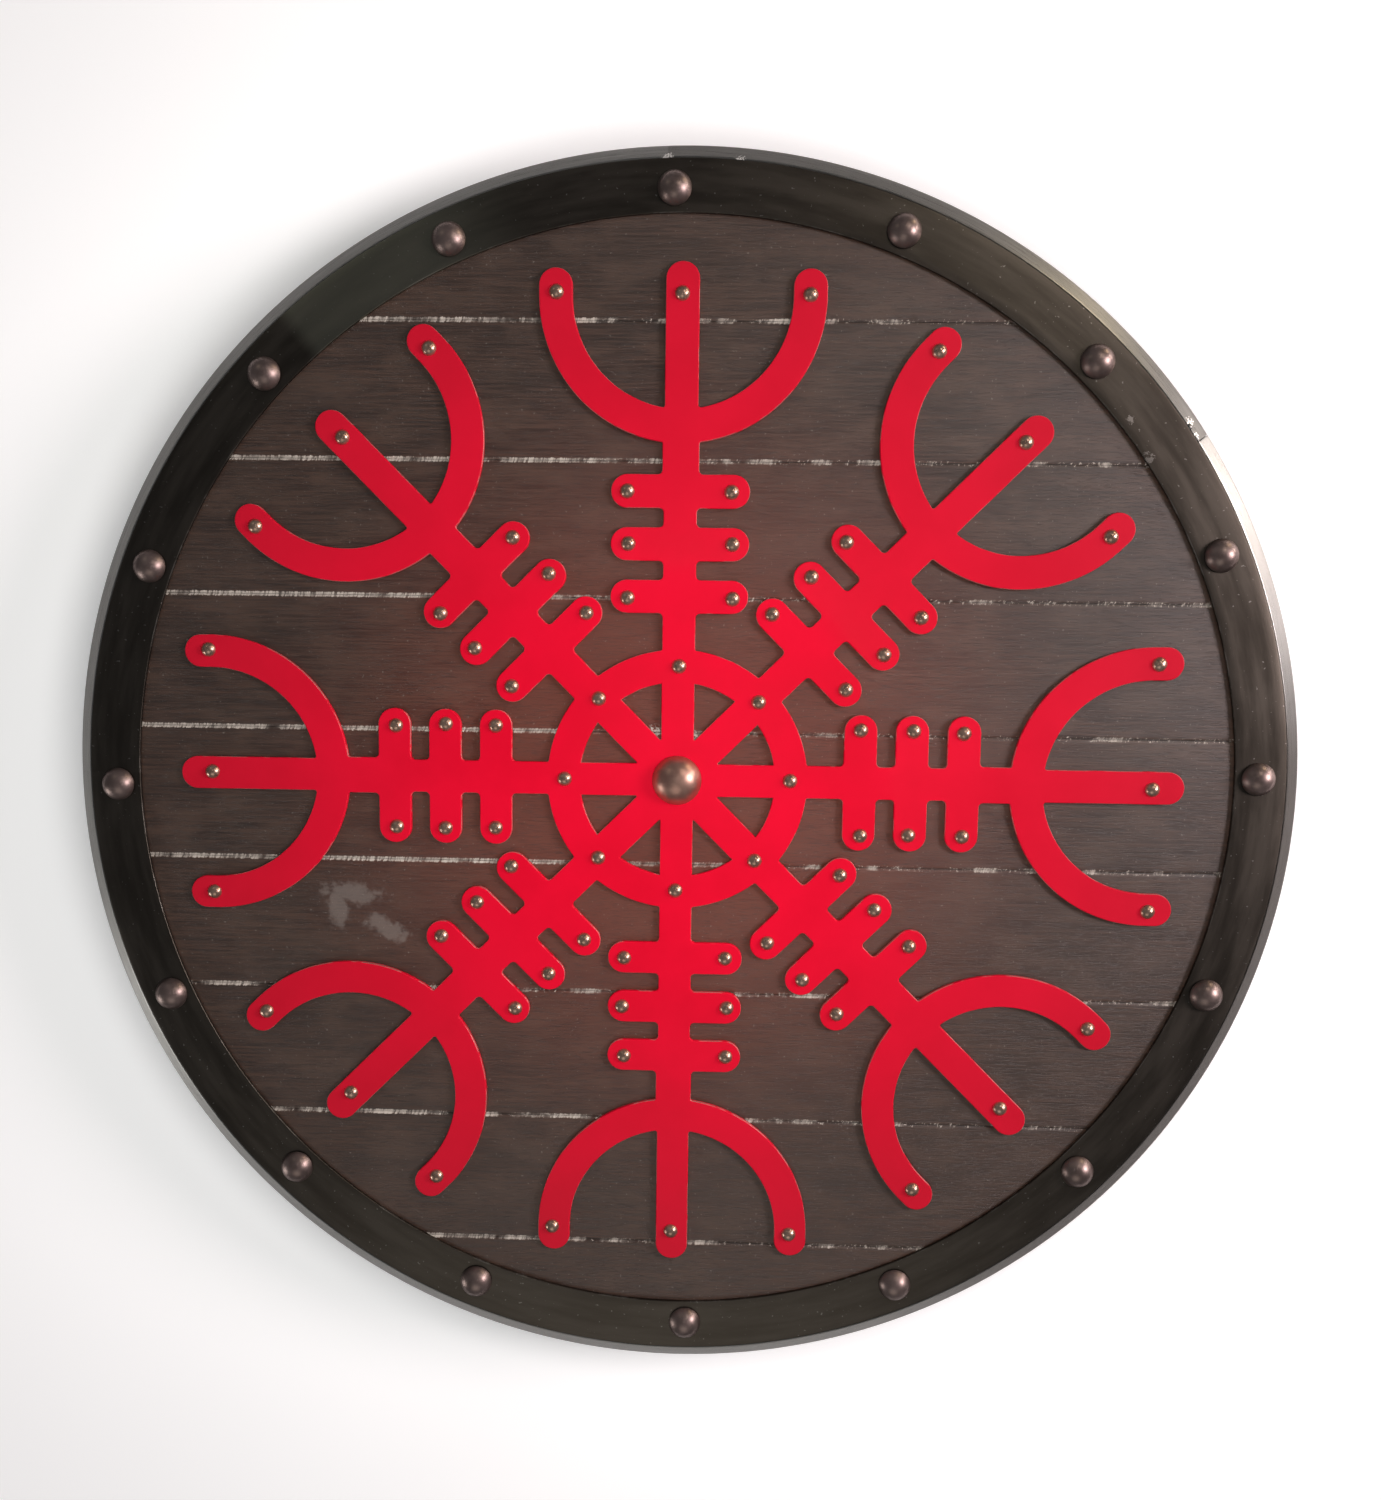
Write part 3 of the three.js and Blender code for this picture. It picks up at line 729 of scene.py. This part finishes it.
def red_paint_finish():
    """Red paint on sheet steel: slightly orange-peeled, with painted shade and a painted sheen toward the
    tips, and rubbed edges.
    """
    made, tree, shader = material("red paint")
    place = tree.place()
    grime = tree.use(GRIME, Place=place, Blotch_Size=0.06, Speck_Size=1.3 * MM, Speck_Limit=0.74)
    peel = tree.noise(place, scale=420, detail=2, roughness=0.5)
    colour = tree.mix(grime["Blotches"], RED_DARK, RED_LIGHT)
    # Painted shade and painted sheen: the red made darker and greyer toward the tips
    colour = tree.mix(tree.between(from_middle(tree, place), 0.06, 0.26, 0.0, 0.3), colour, RED_PAINTED_SHADE_AND_SHEEN)
    across, along, up = tree.split(tree.node("ShaderNodeNewGeometry").outputs["Normal"])
    rubbed = tree.noise(place, scale=70, detail=3, roughness=0.6)
    rubbed = tree.math("MULTIPLY", tree.between(up, 0.45, 0.9, 1.0, 0.0), tree.between(rubbed, 0.44, 0.56))
    rubbed = tree.math("MULTIPLY", rubbed, tree.between(up, 0.0, 0.25))
    colour = tree.tint(colour, rubbed, 0.7, RED_RUBBED)
    tree.feed(shader["Base Color"], colour)
    tree.feed(shader["Metallic"], tree.math("MULTIPLY", rubbed, 0.8))
    shader["Specular IOR Level"].default_value = 0.1
    tree.feed(shader["Roughness"], tree.blend(rubbed, tree.blend(grime["Blotches"], 0.4, 0.48), 0.25))
    tree.feed(shader["Normal"], tree.bump(peel, 0.06 * MM, 0.5))
    return made


def patina_finish(name, dark, light, low_rough, high_rough, grain_size):
    """Copper, bronze or steel with a cloudy patina of this grain."""
    made, tree, shader = material(name)
    place = tree.place()
    clouds = tree.noise(place, scale=1 / grain_size, detail=5, roughness=0.65)
    colour = tree.mix(tree.between(clouds, 0.3, 0.7), dark, light)
    tree.feed(shader["Base Color"], colour)
    shader["Metallic"].default_value = 0.9
    tree.feed(shader["Roughness"], tree.between(clouds, 0.3, 0.7, low_rough, high_rough))
    tree.feed(shader["Normal"], tree.bump(clouds, 0.05 * MM, 0.2))
    return made


def floor_finish():
    """Plain pale floor, a little brighter to the camera than the light on it."""
    made, tree, shader = material("pale floor")
    mottle = tree.noise(tree.place(), scale=6, detail=3)
    tree.feed(shader["Base Color"], tree.mix(mottle, FLOOR_DARK, FLOOR_LIGHT))
    shader["Roughness"].default_value = 0.9
    shader["Emission Color"].default_value = (1.0, 1.0, 1.0, 1)
    seen = tree.node("ShaderNodeLightPath").outputs["Is Camera Ray"]
    tree.feed(shader["Emission Strength"], tree.math("MULTIPLY", seen, FLOOR_GLOW))
    return made


# Board

def plank(number, finish):
    """A plank with ragged grooves along its seams, cut round at its ends and slightly crowned."""
    low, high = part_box(f"plank_{number}")
    reach = BOARD_RADIUS - BOARD_CLEARANCE
    bottom = max(low.y - PLANK_SPREAD, -reach + 0.05 * MM)
    top = min(high.y + PLANK_SPREAD, reach - 0.05 * MM)
    near_seam = np.array([0, 0.3, 0.6, 0.9, 1.3, 1.8, 2.6, 4.2, 7.5]) * MM
    inner = np.linspace(bottom + near_seam[-1], top - near_seam[-1], 8)[1:-1]
    rows = np.concatenate([bottom + near_seam, inner, (top - near_seam)[::-1]])
    columns = np.sin(np.linspace(-math.pi / 2, math.pi / 2, 241)) * 0.35 + np.linspace(-1, 1, 241) * 0.65
    half_widths = np.sqrt(reach ** 2 - rows ** 2)
    x = columns[:, None] * half_widths[None, :]
    y = np.broadcast_to(rows, x.shape).copy()
    crown = 1 - ((rows - (top + bottom) / 2) / ((top - bottom) / 2)) ** 2
    z = BOARD_FACE - 0.2 * MM + PLANK_CROWN * crown[None, :]
    z = z + 0.04 * MM * smooth_noise(x, 0.09, 100 + number)
    for side, edge in ((0, bottom), (1, top)):
        if abs(edge) > reach - MM:
            continue
        seed = 200 + 10 * number + side
        ragged = smooth_noise(x, 2.2 * MM, seed) * 0.3 + smooth_noise(x, 9 * MM, seed + 1) * 0.25
        nicks = np.clip(smooth_noise(x, 5 * MM, seed + 2) - 0.55, 0, 1)
        width = GROOVE_WIDTH + (ragged + 2.2 * nicks) * MM
        depth = np.clip(1 - np.abs(y - edge) / width, 0, 1)
        z = z - (GROOVE_DEPTH + NICK_DEPTH * nicks) * depth
    z = np.minimum(z, bevel_height(np.hypot(x, y), SHEET + 0.3 * MM))
    shape = x.shape
    upper = np.stack([x, y, z], axis=-1).reshape(-1, 3)
    lower = np.stack([x, y, np.full(shape, BOARD_BACK)], axis=-1).reshape(-1, 3)
    count, across = shape
    index = np.arange(count * across).reshape(shape)
    quads = np.stack([index[:-1, :-1], index[1:, :-1], index[1:, 1:], index[:-1, 1:]], axis=-1).reshape(-1, 4)
    under = count * across
    faces = quads.tolist() + (quads[:, ::-1] + under).tolist()
    border = np.concatenate([index[:, 0], index[-1, 1:], index[-2::-1, -1], index[0, -2:0:-1]])
    following = np.roll(border, -1)
    faces += [(b, a, a + under, b + under) for a, b in zip(border.tolist(), following.tolist())]
    mesh_piece(f"board_plank_{number}", np.concatenate([upper, lower]), faces, finish,
               [f"plank_{number}"])


# Rim

def flange(finish):
    """The flat ring on the face, its edges slightly rounded and its face a little uneven."""
    inner = FLANGE_INNER
    round_edge = FLANGE_EDGE_RADIUS
    corners = [(inner, FLANGE_LOW.z), (CREASE_RADIUS, FLANGE_LOW.z),
               (CREASE_RADIUS, FLANGE_FACE, round_edge), (inner, FLANGE_FACE, round_edge)]
    profile = filleted(corners, 4)
    across = [(inner + share * FLANGE_WIDTH, FLANGE_FACE) for share in (0.8, 0.6, 0.4, 0.2)]
    cut = [i for i, p in enumerate(profile) if p[1] > FLANGE_FACE - 1e-7 and p[0] < inner + 2 * round_edge]
    profile = [tuple(p) for p in profile[:cut[0]]] + across + [tuple(p) for p in profile[cut[0]:]]
    points, faces = turned(profile, 288)
    angle = np.arctan2(points[:, 1], points[:, 0]) + math.pi
    lift = 0.12 * MM * smooth_noise(angle * CREASE_RADIUS, 0.11, 7)
    seam = np.clip(np.minimum(angle, TURN - angle) / 0.2, 0, 1)
    points[:, 2] += np.minimum(lift * seam, 0.0)
    mesh_piece("flange_ring", points, faces, finish, ["rim_flange"])


def hoop(finish):
    """The strip that bevels off the flange, bends down round the edge and folds in behind."""
    start = CREASE_RADIUS + 0.18 * MM
    inner = OUTER_RADIUS - SHEET
    lip = OUTER_RADIUS - RETURN_WIDTH
    back = HOOP_LOW.z
    tight = HOOP_EDGE_RADIUS
    flat = 1.2 * MM
    corners = [
        (start, bevel_height(start, SHEET)),
        (inner, bevel_height(inner, SHEET)),
        (inner, back + SHEET),
        (lip, back + SHEET, tight),
        (lip, back, tight),
        (OUTER_RADIUS, back, HOOP_BEND_RADIUS),
        (OUTER_RADIUS, bevel_height(OUTER_RADIUS), HOOP_BEND_RADIUS),
        (OUTER_RADIUS - flat, bevel_height(OUTER_RADIUS - flat)),
        (start + flat, bevel_height(start + flat)),
        (start, bevel_height(start), tight),
    ]
    half_gap = HOOP_JOINT_GAP / 2 / OUTER_RADIUS
    profile = filleted(corners, 5)
    joint = math.radians(HOOP_JOINT)
    points, faces = turned(profile, 360, joint + half_gap, joint + TURN - half_gap)
    mesh_piece("edge_hoop", points, faces, finish, ["rim_hoop"], flat_angle=40)


def weld_beads(finish):
    """Two small beads of weld on the crease beside the hoop's joint."""
    spots = ((35.9, 0.9, 1.5 * MM), (34.75, 0.6, 1.1 * MM))
    for number, (degrees, flatness, radius) in enumerate(spots, 1):
        points, faces = dome(radius, radius * 0.55, 20, 6, 0.1 * MM)
        points[:, 0] *= flatness
        place = on_rim(degrees, CREASE_RADIUS + 0.7 * MM, FLANGE_FACE - 0.75 * MM)
        points = placed(points, place, turn=math.radians(degrees))
        mesh_piece(f"weld_bead_{number}", points, faces, finish)


def studs(finish):
    """The dome studs on the flange, each set a little out of true."""
    rng = np.random.default_rng(31)
    for number in range(1, RIM_STUDS + 1):
        node = f"rim_stud_{number:02d}"
        points, faces = dome(RIM_STUD_RADIUS, RIM_STUD_HEIGHT, 48, 14, 0.5 * MM)
        tilt = rng.uniform(-1, 1, 2) * math.radians(1.2)
        place = (*middle_of(node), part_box(node)[0].z - 0.15 * MM)
        mesh_piece(f"flange_stud_{number:02d}", placed(points, place, tilt), faces, finish,
                   [node])


def centre_stud(finish):
    """The large dome stud in the middle of the emblem."""
    low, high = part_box("centre_stud")
    points, faces = dome(CENTRE_STUD_RADIUS, CENTRE_STUD_HEIGHT, 64, 18, 0.8 * MM)
    mesh_piece("middle_stud", placed(points, (EMBLEM_X, EMBLEM_Y, low.z - 0.25 * MM)), faces, finish,
               ["centre_stud"])


# Emblem

def half_arm():
    """One side of an arm that lies along +X, from the ring to its tip, as shares of the reach."""
    ring = RING_MIDDLE + STROKE / 2
    side = STROKE / 2
    meets = math.degrees(math.asin(side / ring))
    path = arc((0, 0), ring, -180 / ARMS, -meets, 2.5)[:-1]
    path.append((math.sqrt(ring ** 2 - side ** 2), -side, SMALL_FILLET))
    cap_level = (BAR_LENGTH - STROKE) / 2
    for number, middle in enumerate(BARS):
        leave = NECK / 2 if number == len(BARS) - 1 else side
        path.append((middle - side, -side, GAP_FILLET))
        path += arc((middle, -cap_level), side, 180, 360, 9)
        path.append((middle + side, -leave, GAP_FILLET))
    outer = FORK_RADIUS + side
    inner = FORK_RADIUS - side
    neck = NECK / 2
    path.append((FORK_MIDDLE - math.sqrt(outer ** 2 - neck ** 2), -neck, SMALL_FILLET))
    path += arc((FORK_MIDDLE, 0), outer, 180 + math.degrees(math.asin(neck / outer)) + 2.5, 270, 2.5)
    path += arc((FORK_MIDDLE + FORK_RUN, -FORK_RADIUS), side, -90, 90, 9)
    joins = math.degrees(math.asin(side / inner))
    path += arc((FORK_MIDDLE, 0), inner, 270, 180 + joins + 3, 3)
    path.append((FORK_MIDDLE - math.sqrt(inner ** 2 - side ** 2), -side, SMALL_FILLET))
    return path + arc((1 - side, 0), side, -90, 0, 9)[:-1]


def mirrored(path):
    """A path mirrored across the X axis, in the other direction."""
    return [(p[0], -p[1], *p[2:]) for p in reversed(path)]


def plate_outlines():
    """The emblem's outer outline and its windows, in metres about the middle."""
    half = half_arm()
    arm = half + [(1.0, 0.0)] + mirrored(half)[:-1]
    outer = []
    windows = []
    ring = RING_MIDDLE - STROKE / 2
    side = STROKE / 2
    meets = math.degrees(math.asin(side / ring))
    tip = side / math.sin(math.pi / ARMS)
    window = [(tip * math.cos(math.pi / ARMS), tip * math.sin(math.pi / ARMS), 0.0015)]
    window += arc((0, 0), ring, meets, 360 / ARMS - meets, 3)
    for number in range(ARMS):
        turn = Matrix.Rotation(number * TURN / ARMS, 2)
        outer += [(*(turn @ Vector(p[:2])), *p[2:]) for p in arm]
        windows.append([(*(turn @ Vector(p[:2])), *p[2:]) for p in window])
    return [np.array(filleted(path)) * REACH for path in [outer, *windows]]


def inset(path, distance):
    """A closed path moved in by this distance, on the side of the plate."""
    before = path - np.roll(path, 1, axis=0)
    after = np.roll(path, -1, axis=0) - path
    before /= np.linalg.norm(before, axis=1)[:, None]
    after /= np.linalg.norm(after, axis=1)[:, None]
    mean = before + after
    mean /= np.linalg.norm(mean, axis=1)[:, None]
    normal = np.stack([-mean[:, 1], mean[:, 0]], axis=1)
    cosine = np.clip((before * mean).sum(axis=1), 0.5, 1)
    return path + normal * (distance / cosine)[:, None]


def emblem_plate(finish):
    """The red plate: its outline, a rounded upper edge all round, and flat faces."""
    outlines = plate_outlines()
    outlines = [outlines[0]] + [path[::-1] for path in outlines[1:]]
    edge = PLATE_EDGE_RADIUS
    levels = [(0.0, PLATE_BACK), (0.0, PLATE_FACE - edge)]
    levels += [(edge * (1 - math.cos(a)), PLATE_FACE - edge * (1 - math.sin(a)))
               for a in np.radians([30, 60, 90])]
    levels.append((edge + FACE_BORDER, PLATE_FACE))
    points = []
    faces = []
    starts = []
    for path in outlines:
        starts.append(len(points))
        for distance, z in levels:
            points += [(x + EMBLEM_X, y + EMBLEM_Y, z) for x, y in inset(path, distance)]
        faces += faces_between(len(levels), len(path), first=starts[-1])
    for level, up in ((0, False), (len(levels) - 1, True)):
        loops = []
        index = []
        for path, start in zip(outlines, starts):
            n = len(path)
            ids = list(range(start + level * n, start + (level + 1) * n))
            loops.append([Vector(points[i]) for i in ids])
            index += ids
        for a, b, c in tessellate_polygon(loops):
            pa, pb, pc = (Vector(points[index[i]]) for i in (a, b, c))
            upward = (pb - pa).cross(pc - pa).z > 0
            order = (a, b, c) if upward == up else (c, b, a)
            faces.append(tuple(index[i] for i in order))
    mesh_piece("emblem_plate", points, faces, finish, ["emblem"], flat_angle=50)


def emblem_nails(finish):
    """The small dome nails, each driven a little off its mark."""
    rng = np.random.default_rng(12)
    places = [(RING_NAIL, 0.0)]
    for middle in BARS:
        places += [(middle, -BAR_NAIL), (middle, BAR_NAIL)]
    places += [(FORK_NAIL, side) for side in (-FORK_RADIUS, 0.0, FORK_RADIUS)]
    number = 0
    for arm in range(ARMS):
        angle = arm * TURN / ARMS
        for x, y in places:
            number += 1
            spot = Matrix.Rotation(angle, 2) @ Vector((x * REACH, y * REACH))
            spot += Vector(rng.normal(0, 1, 2).clip(-1.6, 1.6) * NAIL_WANDER)
            tilt = rng.uniform(-1, 1, 2) * math.radians(2.5)
            points, faces = dome(NAIL_RADIUS, NAIL_HEIGHT, 28, 9, 0.25 * MM)
            place = (spot.x + EMBLEM_X, spot.y + EMBLEM_Y, PLATE_FACE - 0.12 * MM)
            mesh_piece(f"emblem_nail_{number:02d}", placed(points, place, tilt), faces, finish)


# Back

def batten(side, finish):
    """A batten with its thick saddle, notched for the grip, and its edges broken."""
    low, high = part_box(f"batten_{side}")
    thin = high.z - BATTEN_THICKNESS
    notch = (GRIP_HIGH.y - GRIP_LOW.y) / 2 + NOTCH_CLEARANCE
    half = [(notch, GRIP_HIGH.z + NOTCH_CLEARANCE), (notch, low.z)]
    shares = [i / 14 for i in range(15)]
    half += [(SADDLE + SADDLE_RAMP * share, thin * (1 - math.cos(math.pi * share)) / 2) for share in shares]
    half += [(high.y - BATTEN_CHAMFER, thin), (high.y, thin + BATTEN_CHAMFER), (high.y, high.z)]
    outline = [(-y, z) for y, z in reversed(half)] + half
    n = len(outline)
    points = [(x, y, z) for x in (low.x, high.x) for y, z in outline]
    faces = [(k, (k + 1) % n, n + (k + 1) % n, n + k) for k in range(n)]
    faces += [tuple(reversed(range(n))), tuple(range(n, 2 * n))]
    piece = mesh_piece(f"back_batten_{side}", points, faces, finish, [f"batten_{side}"])
    bevel = piece.modifiers.new("broken edges", "BEVEL")
    bevel.width = BATTEN_EDGE_RADIUS
    bevel.segments = 3
    bevel.limit_method = "ANGLE"
    bevel.angle_limit = math.radians(40)


def grip(finish):
    """The grip: square where it is let into the battens, oval and slightly waisted for the hand."""
    half_length = GRIP_HIGH.x
    half_width = GRIP_HIGH.y
    half_height = (GRIP_HIGH.z - GRIP_LOW.z) / 2
    middle = (GRIP_HIGH.z + GRIP_LOW.z) / 2
    lap = BATTEN_LOW.x
    stations = np.concatenate([
        [-half_length, -half_length + 0.8 * MM, -half_length + 2 * MM, -lap - 1 * MM],
        np.linspace(-lap + 1 * MM, lap - 1 * MM, 41),
        [lap + 1 * MM, half_length - 2 * MM, half_length - 0.8 * MM, half_length],
    ])
    sides = 48
    points = []
    for x in stations:
        inward = np.clip((lap - abs(x)) / (16 * MM), 0, 1)
        ease = inward * inward * (3 - 2 * inward)
        power = 2 / (12 + (2.7 - 12) * ease)
        end = np.clip((half_length - abs(x)) / (2 * MM), 0, 1)
        shrink = 1 - 0.06 * (1 - end) ** 2
        waist = 1 - 0.07 * ease * math.cos(x / lap * math.pi / 2)
        for k in range(sides):
            c, s = math.cos(TURN * k / sides), math.sin(TURN * k / sides)
            y = half_width * waist * shrink * math.copysign(abs(c) ** power, c)
            z = half_height * shrink * math.copysign(abs(s) ** power, s)
            points.append((x, y, middle + z))
    faces = faces_between(len(stations), sides, inside_out=True)
    faces += [tuple(range(sides)), tuple(reversed(range(len(points) - sides, len(points))))]
    mesh_piece("hand_grip", points, faces, finish, ["grip"])


def slotted_screw(name, node, finish, turn):
    """A round-headed wood screw seen from below, with a slot cut across its head."""
    low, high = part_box(node)
    radius = (high.x - low.x) / 2
    height = high.z - low.z
    points, faces = dome(radius, height, 40, 10, 0.3 * MM)
    points = placed(points, (*middle_of(node), high.z + 0.25 * MM), (math.pi, 0), turn)
    piece = mesh_piece(name, points, faces, finish, [node])
    corners = [(sx * radius * 1.2, sy * SLOT_HALF_WIDTH, z) for z in (-height * 1.5, -height * 0.5)
               for sx, sy in ((-1, -1), (1, -1), (1, 1), (-1, 1))]
    box = placed(np.array(corners), (*middle_of(node), high.z), turn=turn)
    cutter_mesh = bpy.data.meshes.new(name + "_slot")
    sides = [(3, 2, 1, 0), (4, 5, 6, 7), (0, 1, 5, 4), (1, 2, 6, 5), (2, 3, 7, 6), (3, 0, 4, 7)]
    cutter_mesh.from_pydata(box.tolist(), [], sides)
    cutter = bpy.data.objects.new(name + "_slot", cutter_mesh)
    bpy.context.scene.collection.objects.link(cutter)
    cut = piece.modifiers.new("slot", "BOOLEAN")
    cut.operation = "DIFFERENCE"
    cut.solver = "EXACT"
    cut.object = cutter
    bpy.context.view_layer.update()
    sliced = bpy.data.meshes.new_from_object(piece.evaluated_get(bpy.context.evaluated_depsgraph_get()))
    piece.modifiers.clear()
    piece.data = sliced
    bpy.data.objects.remove(cutter)


def rivet_ends(finish):
    """The studs' shanks, hammered over round washers on the back of the board."""
    for number in range(1, RIM_STUDS + 1):
        place = (*middle_of(f"rim_stud_{number:02d}"), BOARD_BACK + 0.05 * MM)
        flip = (math.pi, 0)
        washer, faces = dome(WASHER_RADIUS, WASHER_THICKNESS, 32, 3, 0.8 * MM)
        mesh_piece(f"stud_washer_{number:02d}", placed(washer, place, flip), faces, finish)
        end, faces = dome(STUD_END_RADIUS, STUD_END_HEIGHT, 24, 6, 1.2 * MM)
        mesh_piece(f"stud_end_{number:02d}", placed(end, place, flip), faces, finish)


# Stage

def soft_light(name, azimuth, from_vertical, distance, size, power, colour, in_reflections):
    """A round soft light aimed at the shield. It is never seen itself."""
    tilt = math.radians(from_vertical)
    turn = math.radians(azimuth)
    direction = Vector((math.sin(tilt) * math.cos(turn), math.sin(tilt) * math.sin(turn), math.cos(tilt)))
    data = bpy.data.lights.new(name, "AREA")
    data.shape = "DISK"
    data.size = size
    data.energy = power
    data.color = colour
    lamp = bpy.data.objects.new(name, data)
    lamp.location = Vector((0, 0, BOARD_FACE)) + direction * distance
    lamp.rotation_euler = direction.to_track_quat("Z", "Y").to_euler()
    lamp.visible_camera = False
    lamp.visible_glossy = in_reflections
    bpy.context.scene.collection.objects.link(lamp)


def stage():
    """Pale floor, soft lights and the camera."""
    mesh = bpy.data.meshes.new("floor")
    half = FLOOR_HALF_WIDTH
    corners = [(-half, -half, 0), (half, -half, 0), (half, half, 0), (-half, half, 0)]
    mesh.from_pydata(corners, [], [(0, 1, 2, 3)])
    mesh.materials.append(floor_finish())
    floor = bpy.data.objects.new("floor", mesh)
    bpy.context.scene.collection.objects.link(floor)

    # Name, azimuth, degrees from the vertical, distance, size, power, colour, seen in reflections
    lights = (
        ("window", 12, 60, 1.5, 0.5, 17.5, (1.0, 0.88, 0.9), True),
        ("right lamp", 54, 47, 0.9, 0.24, 0.65, (1.0, 0.92, 0.8), True),
        ("left lamp", 130, 58, 1.0, 0.14, 0.12, (1.0, 1.0, 0.82), True),
        ("overhead", 40, 4, 0.42, 0.22, 2.0, (1.0, 0.98, 0.96), False),
        ("front fill", 265, 42, 1.8, 1.2, 3.0, (1.0, 0.96, 0.88), True),
        ("low left", 209, 84, 1.6, 0.5, 3.3, (1.0, 0.98, 0.95), True),
        ("low right", 25, 82, 2.2, 0.42, 8.0, (1.0, 0.9, 0.84), True),
        ("low top", 48, 83, 1.6, 0.26, 2.1, (1.0, 0.84, 0.56), True),
    )
    for light in lights:
        soft_light(*light)
    world = bpy.data.worlds.new("room")
    world.use_nodes = True
    sky = Tree(world.node_tree)
    background = world.node_tree.nodes["Background"].inputs
    background["Color"].default_value = ROOM_COLOUR
    seen = sky.node("ShaderNodeLightPath").outputs["Is Camera Ray"]
    sky.feed(background["Strength"], sky.blend(seen, ROOM_LIGHT, ROOM_SEEN))
    bpy.context.scene.world = world

    camera = bpy.data.cameras.new("camera")
    camera.sensor_width = 36
    camera.lens = CAMERA_LENS
    camera.clip_start = 0.01
    holder = bpy.data.objects.new("camera", camera)
    holder.location = CAMERA_PLACE
    holder.rotation_euler = Euler([math.radians(a) for a in CAMERA_TURN])
    bpy.context.scene.collection.objects.link(holder)
    bpy.context.scene.camera = holder
    bpy.context.scene.view_settings.view_transform = "Standard"


def build():
    """All the shield's pieces with their finishes."""
    planks = plank_finish()
    battens = batten_finish()
    black_steel = black_steel_finish()
    ground_steel = brushed_steel_finish()
    stud_copper = patina_finish("dark copper", *DARK_COPPER, 0.35, 0.42, 9 * MM)
    middle_copper = patina_finish("brown copper", *BROWN_COPPER, 0.33, 0.39, 8 * MM)
    nail_bronze = patina_finish("nail bronze", *NAIL_BRONZE, 0.26, 0.32, 3 * MM)
    screw_steel = patina_finish("dark screw steel", *SCREW_STEEL, 0.35, 0.5, 3 * MM)
    for number in range(1, PLANKS + 1):
        plank(number, planks)
    flange(black_steel)
    hoop(ground_steel)
    weld_beads(ground_steel)
    studs(stud_copper)
    centre_stud(middle_copper)
    emblem_plate(red_paint_finish())
    emblem_nails(nail_bronze)
    for side in ("left", "right"):
        batten(side, battens)
        for number in range(1, SCREWS + 1):
            node = f"screw_{side}_{number}"
            slotted_screw(f"batten_{node}", node, screw_steel, number * 0.9)
    grip(grip_finish())
    rivet_ends(screw_steel)


build()
stage()
